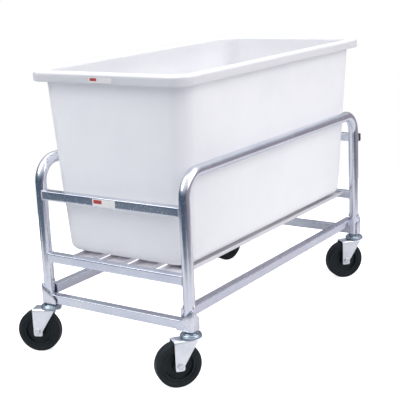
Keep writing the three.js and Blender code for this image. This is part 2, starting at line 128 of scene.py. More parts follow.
class Shader:
    """The node tree of one material."""

    def __init__(self, name: str) -> None:
        """Makes an empty material of that name."""
        self.material = bpy.data.materials.new(name)
        self.material.use_nodes = True
        self.tree = self.material.node_tree
        self.tree.nodes.clear()

    def node(
        self,
        kind: str,
        settings: dict[str, Any] | None = None,
        inputs: dict[Any, Any] | None = None,
        output: str | int = 0,
    ) -> Channel:
        """Adds a node.

        Args:
            kind: The node's type.
            settings: The node's own settings, which are set first.
            inputs: Values or links by the name or place of a socket.
            output: The name or place of the socket that is returned.

        Returns:
            The output as a channel.
        """
        made = self.tree.nodes.new(kind)
        for key, value in (settings or {}).items():
            setattr(made, key, value)
        for key, value in (inputs or {}).items():
            if isinstance(value, Channel):
                self.tree.links.new(value.socket, made.inputs[key])
            else:
                made.inputs[key].default_value = value
        return Channel(self, made.outputs[output])

    def place(self, grain: Grain) -> Channel:
        """Returns the pattern's coordinates, in metres, stretched along the grain."""
        if grain is Grain.DRAWN:
            found = self.node("ShaderNodeAttribute", {"attribute_name": "drawn"}, output="Vector")
        else:
            found = self.node("ShaderNodeTexCoord", output="Object")
        return self.node("ShaderNodeMapping", {}, {"Vector": found, "Scale": grain.value})

    def noise(self, place: Channel, scale: float, detail: float = 3.0) -> Channel:
        """Returns a noise between 0 and 1 of that many cells a metre."""
        inputs = {"Vector": place, "Scale": scale, "Detail": detail}
        return self.node("ShaderNodeTexNoise", {}, inputs, "Fac")

    def mix(self, factor: Channel, first: Any, second: Any) -> Channel:
        """Returns a mix of two colours."""
        values = [v if isinstance(v, Channel) else (*v, 1.0) for v in (first, second)]
        settings = {"data_type": "RGBA"}
        inputs = {0: factor, 6: values[0], 7: values[1]}
        return self.node("ShaderNodeMix", settings, inputs, 2)

    def bump(self, height: Channel, distance: float, strength: float = 1.0) -> Channel:
        """Returns a normal from a height."""
        inputs = {"Strength": strength, "Distance": distance, "Height": height}
        return self.node("ShaderNodeBump", {}, inputs)

    def close(self, inputs: dict[str, Any]) -> bpy.types.Material:
        """Adds the main shader with those inputs and the output.

        Args:
            inputs: Values or links of the main shader's sockets.

        Returns:
            The finished material.
        """
        surface = self.node("ShaderNodeBsdfPrincipled", {}, inputs)
        self.node_output(surface)
        return self.material

    def node_output(self, surface: Channel) -> None:
        """Links a surface to a new output node."""
        out = self.tree.nodes.new("ShaderNodeOutputMaterial")
        self.tree.links.new(surface.socket, out.inputs["Surface"])


# ---------------------------------------------------------------- finishes


@dataclass(frozen=True)
class MetalFinish:
    """A drawn, pressed or plated metal."""

    name: str
    slot: str
    colour: Colour
    shade: Colour
    roughness: float
    spread: float
    grain: Grain = Grain.NONE
    line_scale: float = 900.0
    line_depth: float = 0.00002
    cloud_scale: float = 9.0
    metallic: float = 1.0

    def material(self) -> bpy.types.Material:
        """Builds the finish: fine lines, soft clouds, small scuffs and uneven gloss."""
        shader = Shader(self.name)
        lines = shader.noise(shader.place(self.grain), self.line_scale, 2.0)
        plain = shader.place(Grain.NONE)
        clouds = shader.noise(plain, self.cloud_scale, 4.0)
        scuffs = shader.noise(plain, self.cloud_scale * 16, 6.0).smooth(0.6, 0.72)
        tone = (clouds * 0.65 + lines * 0.35).smooth(0.3, 0.7)
        colour = shader.mix(tone, self.shade, self.colour)
        rough = lines * self.spread + clouds * self.spread + scuffs * 0.07
        return shader.close(
            {
                "Base Color": colour,
                "Metallic": self.metallic,
                "Roughness": rough + (self.roughness - self.spread),
                "Normal": shader.bump(lines + scuffs * 0.5, self.line_depth),
            }
        )


@dataclass(frozen=True)
class RubberFinish:
    """A hard moulded rubber or plastic with a fine pebble and a little dust."""

    name: str
    slot: str
    colour: Colour
    dust: Colour
    roughness: float
    dust_share: float = 0.35
    pebble_scale: float = 700.0

    def material(self) -> bpy.types.Material:
        """Builds the finish: pebbled skin, worn clouds and dust in the low spots."""
        shader = Shader(self.name)
        plain = shader.place(Grain.NONE)
        pebble = shader.noise(plain, self.pebble_scale, 2.0)
        clouds = shader.noise(plain, 34.0, 5.0).smooth(0.42, 0.72)
        colour = shader.mix(clouds * self.dust_share, self.colour, self.dust)
        return shader.close(
            {
                "Base Color": colour,
                "Roughness": clouds * 0.14 + pebble * 0.08 + self.roughness,
                "Specular IOR Level": 0.3,
                "Normal": shader.bump(pebble, 0.00008),
            }
        )


@dataclass(frozen=True)
class PolyethyleneFinish:
    """The tub's waxy natural polyethylene, a little cloudy, with faint flow and scuffs."""

    name: str
    slot: str
    colour: Colour
    cloud: Colour
    scuff: Colour
    roughness: float

    def material(self) -> bpy.types.Material:
        """Builds the finish: cloudy body, orange-peel skin and fine drag marks."""
        shader = Shader(self.name)
        plain = shader.place(Grain.NONE)
        clouds = shader.noise(plain, 5.0, 5.0).smooth(0.35, 0.65)
        peel = shader.noise(plain, 260.0, 2.0)
        waves = shader.noise(plain, 6.5, 1.0)
        drags = shader.noise(shader.place(Grain.UPRIGHT), 330.0, 4.0).smooth(0.66, 0.76)
        body = shader.mix(clouds, self.colour, self.cloud)
        skin = shader.bump(waves, 0.0035, 0.5)
        peel_inputs = {"Strength": 0.5, "Distance": 0.00012, "Height": peel, "Normal": skin}
        return shader.close(
            {
                "Base Color": shader.mix(drags * 0.3, body, self.scuff),
                "Roughness": clouds * 0.07 + drags * 0.1 + self.roughness,
                "Subsurface Weight": 1.0,
                "Subsurface Radius": (1.0, 1.0, 1.0),
                "Subsurface Scale": 0.02,
                "Specular IOR Level": 0.45,
                "Normal": shader.node("ShaderNodeBump", {}, peel_inputs),
            }
        )


@dataclass(frozen=True)
class FilmFinish:
    """A white printed film with one plain coloured band along its left end."""

    name: str
    slot: str
    paper: Colour
    band: Colour
    band_left: float
    band_right: float
    band_low: float
    band_high: float

    def material(self) -> bpy.types.Material:
        """Builds the finish: paper fibres, a plain band and slightly grubby edges."""
        shader = Shader(self.name)
        found = shader.node("ShaderNodeTexCoord", output="Object")
        x = shader.node("ShaderNodeSeparateXYZ", {}, {"Vector": found}, "X")
        z = shader.node("ShaderNodeSeparateXYZ", {}, {"Vector": found}, "Z")
        soft = 0.0004
        inside = x.smooth(self.band_left, self.band_left + soft)
        inside = inside * (1 - x.smooth(self.band_right - soft, self.band_right))
        inside = inside * z.smooth(self.band_low, self.band_low + soft)
        inside = inside * (1 - z.smooth(self.band_high - soft, self.band_high))
        fibre = shader.noise(shader.place(Grain.NONE), 1500.0, 3.0)
        grime = shader.noise(shader.place(Grain.NONE), 90.0, 4.0).smooth(0.5, 0.8)
        paper = shader.mix(grime * 0.25, self.paper, (0.6, 0.58, 0.55))
        return shader.close(
            {
                "Base Color": shader.mix(inside, paper, self.band),
                "Roughness": fibre * 0.1 + 0.28,
                "Normal": shader.bump(fibre, 0.00002),
            }
        )


Finish = MetalFinish | RubberFinish | PolyethyleneFinish | FilmFinish

TUBE_COLOUR = (0.80, 0.82, 0.88)
TUBE_SHADE = (0.66, 0.68, 0.77)

HOOP_METAL = MetalFinish(
    "hoop_aluminium", "aluminium_tube", TUBE_COLOUR, TUBE_SHADE, 0.2, 0.1, Grain.DRAWN
)
BAR_METAL = MetalFinish(
    "cross_bar_aluminium", "aluminium_bar", (0.76, 0.79, 0.85), (0.6, 0.64, 0.74), 0.24, 0.1, Grain.ACROSS
)
RAIL_METAL = MetalFinish(
    "side_rail_aluminium", "aluminium_bar", (0.78, 0.79, 0.86), (0.64, 0.65, 0.75), 0.24, 0.1, Grain.ALONG
)
BRACKET_METAL = MetalFinish(
    "bracket_aluminium", "aluminium_tube", (0.84, 0.85, 0.9), (0.7, 0.72, 0.8), 0.26, 0.1, Grain.UPRIGHT
)
WELD_METAL = MetalFinish(
    "weld_bead", "aluminium_tube", (0.82, 0.83, 0.87), (0.55, 0.56, 0.62), 0.34, 0.14
)
# Painted light: the slats' aluminium has a lighter lavender colour and less metal than the other aluminium.
# This makes them look bright in the shade beneath the tub, standing in for the light that passes through the
# tub onto them.
SLAT_METAL_PAINTED_LIGHT = MetalFinish(
    "slat_aluminium", "aluminium_slat", (0.86, 0.84, 0.87), (0.76, 0.74, 0.79), 0.42, 0.12,
    Grain.ALONG, metallic=0.45,
)
FORK_ZINC = MetalFinish(
    "pressed_fork_zinc", "fork_zinc", (0.9, 0.92, 0.95), (0.76, 0.79, 0.84), 0.32, 0.14, cloud_scale=26.0
)
BOLT_ZINC = MetalFinish(
    "bolt_zinc", "bright_zinc", (0.82, 0.83, 0.85), (0.62, 0.63, 0.66), 0.26, 0.12, cloud_scale=60.0
)
# The race is zinc plated; its dark blue-grey colour is painted shade, darkened to stand for the shade it sits
# in beneath the chassis.
RACE_PLATING_PAINTED_SHADE = MetalFinish(
    "race_plating", "dark_plating", (0.42, 0.48, 0.54), (0.22, 0.27, 0.33), 0.2, 0.12, cloud_scale=40.0
)
TYRE_RUBBER = RubberFinish(
    "tyre_rubber", "tyre_rubber", (0.004, 0.009, 0.012), (0.02, 0.028, 0.032), 0.42
)
CORE_RUBBER = RubberFinish(
    "core_rubber", "core_rubber", (0.005, 0.01, 0.013), (0.022, 0.03, 0.034), 0.42
)
PLUG_PLASTIC = RubberFinish(
    "plug_plastic", "black_plastic", (0.02, 0.022, 0.025), (0.09, 0.09, 0.09), 0.42
)
SOCKET_PLASTIC = RubberFinish(
    "socket_plastic", "socket_plastic", (0.6, 0.61, 0.59), (0.4, 0.39, 0.36), 0.42
)
TUB_SKIN = PolyethyleneFinish(
    "tub_polyethylene", "tub_polyethylene", (0.83, 0.835, 0.86), (0.8, 0.8, 0.835), (0.72, 0.72, 0.75), 0.36
)


# ---------------------------------------------------------------- meshes


def new_piece(name: str, mesh: bpy.types.Mesh, body: str, finish: Finish, *nodes: str) -> bpy.types.Object:
    """Makes a finished piece from a mesh that is in place.

    Args:
        name: The piece's name.
        mesh: Its mesh, in the cart's frame.
        body: The body that it moves with.
        finish: Its finish.
        nodes: The solids that it stands for.

    Returns:
        The new object.
    """
    mesh.name = name
    mesh.materials.clear()
    mesh.materials.append(Workshop.dressed(finish))
    piece = bpy.data.objects.new(name, mesh)
    bpy.context.scene.collection.objects.link(piece)
    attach(piece, body)
    if nodes:
        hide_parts(*nodes)
    log.info("%s: %d faces on %s", name, len(mesh.polygons), body)
    return piece


def closed_mesh(name: str, form: bmesh.types.BMesh) -> bpy.types.Mesh:
    """Turns a form into a smooth shaded mesh whose faces point outwards."""
    bmesh.ops.remove_doubles(form, verts=form.verts, dist=MERGE_DISTANCE)
    bmesh.ops.recalc_face_normals(form, faces=form.faces)
    mesh = bpy.data.meshes.new(name)
    form.to_mesh(mesh)
    form.free()
    return smoothed(mesh)


def smoothed(mesh: bpy.types.Mesh) -> bpy.types.Mesh:
    """Shades a mesh smooth apart from its sharp edges."""
    mesh.shade_smooth()
    mesh.set_sharp_from_angle(angle=SMOOTH_ANGLE)
    return mesh


def bridge(form: bmesh.types.BMesh, first: Sequence, second: Sequence) -> None:
    """Joins two closed rings of the same number of vertices with quads."""
    count = len(first)
    for i in range(count):
        j = (i + 1) % count
        corners = [first[i], first[j], second[j], second[i]]
        if len(set(corners)) == len(corners):
            form.faces.new(corners)


def lofted(name: str, rings: Sequence[Sequence[Vector]], caps: bool = True) -> bpy.types.Mesh:
    """Makes a closed skin through a stack of rings.

    Args:
        name: The mesh's name.
        rings: Rings of the same number of points.
        caps: True to fill the first and last ring, False to join them to each other.

    Returns:
        The mesh.
    """
    form = bmesh.new()
    rows = [[form.verts.new(point) for point in ring] for ring in rings]
    for low, high in zip(rows, rows[1:]):
        bridge(form, low, high)
    if caps:
        form.faces.new(rows[0])
        form.faces.new(rows[-1])
    else:
        bridge(form, rows[-1], rows[0])
    return closed_mesh(name, form)


def filleted(corners: Sequence[Triple], steps: int = 4) -> list[Pair]:
    """Rounds the corners of a closed outline.

    Args:
        corners: Each corner's two coordinates and its radius.
        steps: The number of parts in each rounding.

    Returns:
        The outline's points.
    """
    points: list[Pair] = []
    count = len(corners)
    for i, (x, y, radius) in enumerate(corners):
        here = Vector((x, y))
        if radius <= 0:
            points.append((x, y))
            continue
        back = Vector(corners[i - 1][:2]) - here
        ahead = Vector(corners[(i + 1) % count][:2]) - here
        half = back.angle(ahead) / 2
        reach = min(radius / math.tan(half), back.length * 0.49, ahead.length * 0.49)
        start, end = here + back.normalized() * reach, here + ahead.normalized() * reach
        for k in range(steps + 1):
            t = k / steps
            point = start * (1 - t) ** 2 + here * 2 * t * (1 - t) + end * t**2
            points.append((point.x, point.y))
    return points


def turned(name: str, outline: Sequence[Pair], sides: int, place: Matrix) -> bpy.types.Mesh:
    """Makes a solid of revolution about Z from a closed outline of radius and height.

    Args:
        name: The mesh's name.
        outline: The closed outline.
        sides: The number of sides.
        place: What moves it into the cart's frame.

    Returns:
        The mesh.
    """
    form = bmesh.new()
    rows = []
    for radius, height in outline:
        row = []
        for k in range(sides):
            angle = k / sides * FULL_TURN
            row.append(form.verts.new((radius * math.cos(angle), radius * math.sin(angle), height)))
        rows.append(row)
    for low, high in zip(rows, [*rows[1:], rows[0]]):
        bridge(form, low, high)
    bmesh.ops.remove_doubles(form, verts=form.verts, dist=MERGE_DISTANCE)
    lonely = [face for face in form.faces if face.calc_area() < 1e-12]
    bmesh.ops.delete(form, geom=lonely, context="FACES")
    form.transform(place)
    return closed_mesh(name, form)


@dataclass
class Station:
    """One cross section of a folded sheet.

    Attributes:
        middle: The point of the sheet's mid surface, at width 0.
        normal: The direction out of the sheet.
        low: The sheet's lower limit along its width.
        high: The sheet's upper limit along its width.
    """

    middle: Vector
    normal: Vector
    low: float
    high: float


def folded(
    name: str, stations: Sequence[Station], across: Vector, thickness: float, place: Matrix, edge: float
) -> bpy.types.Mesh:
    """Makes a sheet that is bent about one direction, with eased edges.

    Args:
        name: The mesh's name.
        stations: The sheet's cross sections in order.
        across: The direction of its width, about which it bends.
        thickness: The sheet's thickness.
        place: What moves it into the cart's frame.
        edge: The width of its eased edges.

    Returns:
        The mesh.
    """
    form = bmesh.new()
    rows = []
    for station in stations:
        half = station.normal * thickness / 2
        low, high = across * station.low, across * station.high
        points = [
            station.middle + half + low,
            station.middle + half + high,
            station.middle - half + high,
            station.middle - half + low,
        ]
        rows.append([form.verts.new(point) for point in points])
    for first, second in zip(rows, rows[1:]):
        bridge(form, first, second)
    form.faces.new(rows[0])
    form.faces.new(rows[-1])
    bmesh.ops.remove_doubles(form, verts=form.verts, dist=MERGE_DISTANCE)
    bmesh.ops.dissolve_degenerate(form, edges=form.edges, dist=MERGE_DISTANCE)
    form.transform(place)
    return eased(closed_mesh(name, form), edge)


def eased(mesh: bpy.types.Mesh, width: float, segments: int = 2) -> bpy.types.Mesh:
    """Rounds the sharp edges of a mesh.

    Args:
        mesh: The mesh.
        width: The width of each rounding.
        segments: The number of parts in it.

    Returns:
        The rounded mesh.
    """
    carrier = bpy.data.objects.new("carrier", mesh)
    bpy.context.scene.collection.objects.link(carrier)
    bevel = carrier.modifiers.new("ease", "BEVEL")
    bevel.width = width
    bevel.segments = segments
    bevel.limit_method = "ANGLE"
    bevel.angle_limit = SMOOTH_ANGLE
    bevel.harden_normals = False
    return Workshop.baked(carrier)


def joined(name: str, meshes: Iterable[bpy.types.Mesh]) -> bpy.types.Mesh:
    """Puts several meshes into one."""
    form = bmesh.new()
    for mesh in meshes:
        form.from_mesh(mesh)
    whole = bpy.data.meshes.new(name)
    form.to_mesh(whole)
    form.free()
    return smoothed(whole)


class Workshop:
    """Keeps the materials that are made once, and bakes modifiers into plain meshes."""

    finishes: dict[str, bpy.types.Material] = {}

    @classmethod
    def dressed(cls, finish: Finish) -> bpy.types.Material:
        """Returns a finish's material, which is built the first time."""
        if finish.name not in cls.finishes:
            cls.finishes[finish.name] = finish.material()
        return cls.finishes[finish.name]

    @staticmethod
    def baked(carrier: bpy.types.Object) -> bpy.types.Mesh:
        """Turns an object with modifiers into a plain mesh and removes the object."""
        graph = bpy.context.evaluated_depsgraph_get()
        mesh = bpy.data.meshes.new_from_object(carrier.evaluated_get(graph), depsgraph=graph)
        for modifier in list(carrier.modifiers):
            carrier.modifiers.remove(modifier)
        bpy.data.objects.remove(carrier)
        return smoothed(mesh)

    @staticmethod
    def keep_node(node: str, finish: Finish) -> None:
        """Gives a solid that is shown as it is its finish."""
        slots = frame["nodes"][node].data.materials
        slots.clear()
        slots.append(Workshop.dressed(finish))


# ---------------------------------------------------------------- geometry nodes


class Pattern:
    """A geometry node tree with named sizes."""

    def __init__(self, name: str, sizes: dict[str, str]) -> None:
        """Makes a tree whose inputs are a geometry and the named sizes.

        Args:
            name: The tree's name.
            sizes: The socket type of each named size.
        """
        self.tree = bpy.data.node_groups.new(name, "GeometryNodeTree")
        face = self.tree.interface
        face.new_socket("Geometry", in_out="INPUT", socket_type="NodeSocketGeometry")
        self.identifiers = {
            size: face.new_socket(size, in_out="INPUT", socket_type=kind).identifier
            for size, kind in sizes.items()
        }
        face.new_socket("Geometry", in_out="OUTPUT", socket_type="NodeSocketGeometry")
        self.start = self.tree.nodes.new("NodeGroupInput")

    def size(self, name: str) -> bpy.types.NodeSocket:
        """Returns the socket of a named size or of the geometry."""
        return self.start.outputs[name]

    def node(
        self,
        kind: str,
        settings: dict[str, Any] | None = None,
        inputs: dict[Any, Any] | None = None,
        output: str | int = 0,
    ) -> bpy.types.NodeSocket:
        """Adds a node.

        Args:
            kind: The node's type.
            settings: The node's own settings.
            inputs: Values or links by the name or place of a socket.
            output: The name or place of the socket that is returned.

        Returns:
            The output socket.
        """
        made = self.tree.nodes.new(kind)
        for key, value in (settings or {}).items():
            setattr(made, key, value)
        for key, value in (inputs or {}).items():
            if isinstance(value, bpy.types.NodeSocket):
                self.tree.links.new(value, made.inputs[key])
            else:
                made.inputs[key].default_value = value
        return made.outputs[output]

    def close(self, geometry: bpy.types.NodeSocket, finish: Finish) -> None:
        """Ends the tree: realises instances, sets the material and links the output."""
        real = self.node("GeometryNodeRealizeInstances", {}, {"Geometry": geometry})
        inputs = {"Geometry": real, "Material": Workshop.dressed(finish)}
        dressed = self.node("GeometryNodeSetMaterial", {}, inputs)
        end = self.tree.nodes.new("NodeGroupOutput")
        self.tree.links.new(dressed, end.inputs["Geometry"])

    def run(self, mesh: bpy.types.Mesh, values: dict[str, Any]) -> bpy.types.Mesh:
        """Applies the tree to a mesh.

        Args:
            mesh: The mesh that the tree starts from.
            values: The value of each named size.

        Returns:
            The resulting plain mesh.
        """
        carrier = bpy.data.objects.new("carrier", mesh)
        modifier = carrier.modifiers.new("pattern", "NODES")
        modifier.node_group = self.tree
        for name, value in values.items():
            modifier[self.identifiers[name]] = value
        bpy.context.scene.collection.objects.link(carrier)
        return Workshop.baked(carrier)


def path_mesh(loops: Sequence[Sequence[Vector]], closed: bool) -> bpy.types.Mesh:
    """Makes a mesh of edges along some lines.

    Args:
        loops: The lines' points.
        closed: True to join each line's end to its start.

    Returns:
        The mesh.
    """
    points: list[Vector] = []
    edges: list[tuple[int, int]] = []
    for loop in loops:
        first = len(points)
        points.extend(loop)
        edges += [(first + i, first + i + 1) for i in range(len(loop) - 1)]
        if closed:
            edges.append((first + len(loop) - 1, first))
    mesh = bpy.data.meshes.new("path")
    mesh.from_pydata([tuple(point) for point in points], edges, [])
    return mesh


def tube_pattern(finish: Finish) -> Pattern:
    """Returns the pattern of a round tube along a line, which marks its drawn direction."""
    made = Pattern("round_tube", {"Radius": "NodeSocketFloat", "Sides": "NodeSocketInt"})
    line = made.node("GeometryNodeMeshToCurve", {}, {"Mesh": made.size("Geometry")})
    length = made.node("GeometryNodeSplineParameter", output="Length")
    line = made.node(
        "GeometryNodeStoreNamedAttribute",
        {"data_type": "FLOAT", "domain": "POINT"},
        {"Geometry": line, "Name": "run", "Value": length},
    )
    inputs = {"Resolution": made.size("Sides"), "Radius": made.size("Radius")}
    section = made.node("GeometryNodeCurvePrimitiveCircle", {}, inputs, "Curve")
    section = made.node(
        "GeometryNodeStoreNamedAttribute",
        {"data_type": "FLOAT_VECTOR", "domain": "POINT"},
        {"Geometry": section, "Name": "round", "Value": made.node("GeometryNodeInputPosition")},
    )
    inputs = {"Curve": line, "Profile Curve": section, "Fill Caps": True}
    tube = made.node("GeometryNodeCurveToMesh", {}, inputs)
    run = made.node("GeometryNodeInputNamedAttribute", {"data_type": "FLOAT"}, {"Name": "run"})
    around = made.node(
        "GeometryNodeInputNamedAttribute", {"data_type": "FLOAT_VECTOR"}, {"Name": "round"}
    )
    parts = made.tree.nodes.new("ShaderNodeSeparateXYZ")
    made.tree.links.new(around, parts.inputs[0])
    drawn = made.node(
        "ShaderNodeCombineXYZ", {}, {"X": run, "Y": parts.outputs["X"], "Z": parts.outputs["Y"]}
    )
    tube = made.node(
        "GeometryNodeStoreNamedAttribute",
        {"data_type": "FLOAT_VECTOR", "domain": "POINT"},
        {"Geometry": tube, "Name": "drawn", "Value": drawn},
    )
    made.close(tube, finish)
    return made


def weld_pattern(finish: Finish) -> Pattern:
    """Returns the pattern of a rippled weld bead along closed lines."""
    sizes = {"Radius": "NodeSocketFloat", "Ripple": "NodeSocketFloat", "Depth": "NodeSocketFloat"}
    made = Pattern("weld_bead", sizes)
    line = made.node("GeometryNodeMeshToCurve", {}, {"Mesh": made.size("Geometry")})
    step = made.node("ShaderNodeMath", {"operation": "MULTIPLY"}, {0: made.size("Ripple"), 1: 0.25})
    inputs = {"Curve": line, "Length": step}
    line = made.node("GeometryNodeResampleCurve", {"mode": "LENGTH"}, inputs)
    inputs = {"Resolution": 8, "Radius": made.size("Radius")}
    section = made.node("GeometryNodeCurvePrimitiveCircle", {}, inputs, "Curve")
    index = made.node("GeometryNodeInputIndex")
    angle = made.node("ShaderNodeMath", {"operation": "MULTIPLY"}, {0: index, 1: math.pi / 4})
    wave = made.node("ShaderNodeMath", {"operation": "SINE"}, {0: angle})
    wave = made.node("ShaderNodeMath", {"operation": "ABSOLUTE"}, {0: wave})
    wave = made.node("ShaderNodeMath", {"operation": "MULTIPLY"}, {0: wave, 1: made.size("Depth")})
    scale = made.node("ShaderNodeMath", {"operation": "ADD"}, {0: wave, 1: 1.0})
    inputs = {"Curve": line, "Profile Curve": section, "Scale": scale}
    made.close(made.node("GeometryNodeCurveToMesh", {}, inputs), finish)
    return made


def row_pattern(finish: Finish) -> Pattern:
    """Returns the pattern of a shape repeated along a straight row."""
    made = Pattern("row", {"Count": "NodeSocketInt", "Step": "NodeSocketVector"})
    inputs = {"Count": made.size("Count"), "Offset": made.size("Step")}
    places = made.node("GeometryNodeMeshLine", {"mode": "OFFSET"}, inputs)
    inputs = {"Points": places, "Instance": made.size("Geometry")}
    made.close(made.node("GeometryNodeInstanceOnPoints", {}, inputs), finish)
    return made


# ---------------------------------------------------------------- chassis


@dataclass
class SquareTube:
    """The square tube of the bars and rails: its side, wall and corner radius."""

    side: float = 0.0254
    wall: float = 0.002
    corner: float = 0.0022
    face_parts: int = 8

    def section(self, half: float, corner: float) -> list[Pair]:
        """Returns a rounded square with points along its flat sides.

        Args:
            half: Half of its side.
            corner: The radius of its corners.

        Returns:
            The points, anticlockwise.
        """
        flat = half - corner
        points: list[Pair] = []
        for quarter in range(4):
            turn = Matrix.Rotation(quarter * QUARTER_TURN, 2)
            for k in range(4):
                angle = k / 4 * QUARTER_TURN
                x, y = flat + corner * math.cos(angle), flat + corner * math.sin(angle)
                points.append(turn @ Vector((x, y)))
            for k in range(self.face_parts):
                x = flat - 2 * flat * k / self.face_parts
                points.append(turn @ Vector((x, half)))
        return [(point[0], point[1]) for point in points]

    def along(self, name: str, ends: tuple[Callable[[float], float], Callable[[float], float]],
              put: Callable[[float, float, float], Vector], hollow: bool = True) -> bpy.types.Mesh:
        """Makes a tube with shaped ends.

        Args:
            name: The mesh's name.
            ends: How far the tube reaches at each end, for a distance across.
            put: The place of a point from its length, its distance across and its height.
            hollow: Whether its ends stay open.

        Returns:
            The mesh.
        """
        outer = self.section(self.side / 2, self.corner)
        inner = self.section(self.side / 2 - self.wall, self.corner / 2)
        rings = []
        walls = ((outer, ends), (inner, ends[::-1])) if hollow else ((outer, ends),)
        for section, order in walls:
            for end in order:
                rings.append([put(end(across), across, up) for across, up in section])
        return lofted(name, rings, caps=not hollow)


@dataclass
class Bead:
    """A weld bead: its radius, the spacing of its ripples and how much they swell it."""

    radius: float = 0.0021
    ripple: float = 0.0024
    swell: float = 0.16
    sink: float = 0.0006


@dataclass
class Chassis:
    """The welded chassis: hoops, bars, rails, slats, brackets, rivets and weld beads."""

    body: str = "chassis"
    tube: SquareTube = field(default_factory=SquareTube)
    bead: Bead = field(default_factory=Bead)
    tube_radius: float = 0.015875
    cope_gap: float = 0.0003
    bend_radius: float = 0.064
    bend_parts: int = 22
    hoop_sides: int = 48
    slat_pitch: float = 0.099
    slat_wall: float = 0.0025
    slat_bend: float = 0.0022
    plate: float = 0.0025
    bracket_bend: float = 0.005
    bracket_crest: float = 0.008
    bracket_front_toe: float = 0.014
    bracket_side_toe: float = 0.034
    loops: list[list[Vector]] = field(default_factory=list)

    def __post_init__(self) -> None:
        """Finds the posts' axes."""
        low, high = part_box("side_hoop_right")
        self.post_y = (low.y + self.tube_radius, high.y - self.tube_radius)
        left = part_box("side_hoop_left")[0].x
        self.post_x = (left + self.tube_radius, high.x - self.tube_radius)
        self.cope = self.tube_radius + self.cope_gap

    def build(self) -> None:
        """Builds every piece of the chassis."""
        self.hoops()
        self.cross_bars()
        self.side_rails()
        self.rear_bar()
        self.slats()
        for corner in CORNERS:
            self.bracket(corner)
        self.rivets()
        self.welds()
        for corner in CORNERS:
            Workshop.keep_node(f"stem_socket_{corner.name}", SOCKET_PLASTIC)

    def hoops(self) -> None:
        """Builds the two side hoops."""
        pattern = tube_pattern(HOOP_METAL)
        for name, x in zip(("side_hoop_left", "side_hoop_right"), self.post_x):
            low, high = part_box(name)
            top = high.z - self.tube_radius
            front, rear = self.post_y
            points = [Vector((x, front, low.z))]
            bends = ((front + self.bend_radius, math.pi), (rear - self.bend_radius, QUARTER_TURN))
            for centre, start in bends:
                for k in range(self.bend_parts + 1):
                    angle = start - k / self.bend_parts * QUARTER_TURN
                    y = centre + self.bend_radius * math.cos(angle)
                    z = top - self.bend_radius + self.bend_radius * math.sin(angle)
                    points.append(Vector((x, y, z)))
            points.append(Vector((x, rear, low.z)))
            values = {"Radius": self.tube_radius, "Sides": self.hoop_sides}
            mesh = pattern.run(path_mesh([points], False), values)
            new_piece(f"{name}_tube", mesh, self.body, HOOP_METAL, name)

    def reach(self, offset: float) -> float:
        """Returns how far a post's round comes out at a distance from its axis."""
        return math.sqrt(max(0.0, self.cope**2 - offset**2))

    def cross_bars(self) -> None:
        """Builds the bars between the posts, with their ends cut to the posts' round."""
        left, right = self.post_x
        ends = (lambda v: left + self.reach(v), lambda v: right - self.reach(v))
        for name in (
            "front_upper_bar", "front_deck_bar", "rear_deck_bar", "front_bottom_bar", "rear_bottom_bar",
        ):
            low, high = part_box(name)
            y, z = (low.y + high.y) / 2, (low.z + high.z) / 2
            put = lambda u, v, w, y=y, z=z: Vector((u, y + v, z + w))
            mesh = self.tube.along(name, ends, put)
            new_piece(f"{name}_tube", mesh, self.body, BAR_METAL, name)
            self.weld_ends(ends, put)

    def side_rails(self) -> None:
        """Builds the rails along the sides, a little inboard of the posts."""
        front, rear = self.post_y
        for name, x_post in zip(("bottom_rail_left", "bottom_rail_right"), self.post_x):
            low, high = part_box(name)
            x, z = (low.x + high.x) / 2, (low.z + high.z) / 2
            shift = x - x_post
            ends = (
                lambda v, s=shift: front + self.reach(v + s),
                lambda v, s=shift: rear - self.reach(v + s),
            )
            put = lambda u, v, w, x=x, z=z: Vector((x + v, u, z + w))
            mesh = self.tube.along(name, ends, put, hollow=False)
            new_piece(f"{name}_tube", mesh, self.body, RAIL_METAL, name)

    def weld_ends(self, ends: tuple, put: Callable[[float, float, float], Vector]) -> None:
        """Adds the weld lines round both ends of a bar."""
        section = self.tube.section(self.tube.side / 2, self.tube.corner)
        for end, inward in zip(ends, (1, -1)):
            sunk = self.bead.sink * inward
            self.loops.append([put(end(across) + sunk, across, up) for across, up in section])

    def rear_bar(self) -> None:
        """Builds the rear upper bar and its end plugs."""
        low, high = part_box("rear_upper_bar")
        y, z = (low.y + high.y) / 2, (low.z + high.z) / 2
        ends = (lambda v: low.x, lambda v: high.x)
        mesh = self.tube.along("rear_upper_bar", ends, lambda u, v, w: Vector((u, y + v, z + w)))
        new_piece("rear_upper_bar_tube", mesh, self.body, BAR_METAL, "rear_upper_bar")
        for node, x_from, way in (("end_plug_left", low.x, -1), ("end_plug_right", high.x, 1)):
            plug_low, plug_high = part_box(node)
            outer = plug_low.x if way < 0 else plug_high.x
            half = self.tube.side / 2
            inner = x_from + way * self.cope_gap
            steps = ((inner, half), (outer - way * 0.0008, half), (outer, half - 0.0012))
            rings = [
                [Vector((x, y + v, z + w)) for v, w in self.tube.section(size, self.tube.corner)]
                for x, size in steps
            ]
            plug = lofted(node, rings)
            new_piece(f"{node}_cap", plug, self.body, PLUG_PLASTIC, node)
        for x in self.post_x:
            self.side_seams(x, low.y, z)

    def side_seams(self, x: float, y: float, z: float) -> None:
        """Adds the two weld lines where the rear bar lies against a post."""
        half = self.tube.side / 2
        for way in (-1, 1):
            edge = x + way * self.tube_radius * 0.55
            width = self.bead.radius
            self.loops.append(
                [
                    Vector((edge - width / 3, y - 0.0012, z - half * 0.86)),
                    Vector((edge + width / 3, y - 0.0012, z - half * 0.86)),
                    Vector((edge + width / 3, y - 0.0012, z + half * 0.86)),
                    Vector((edge - width / 3, y - 0.0012, z + half * 0.86)),
                ]
            )

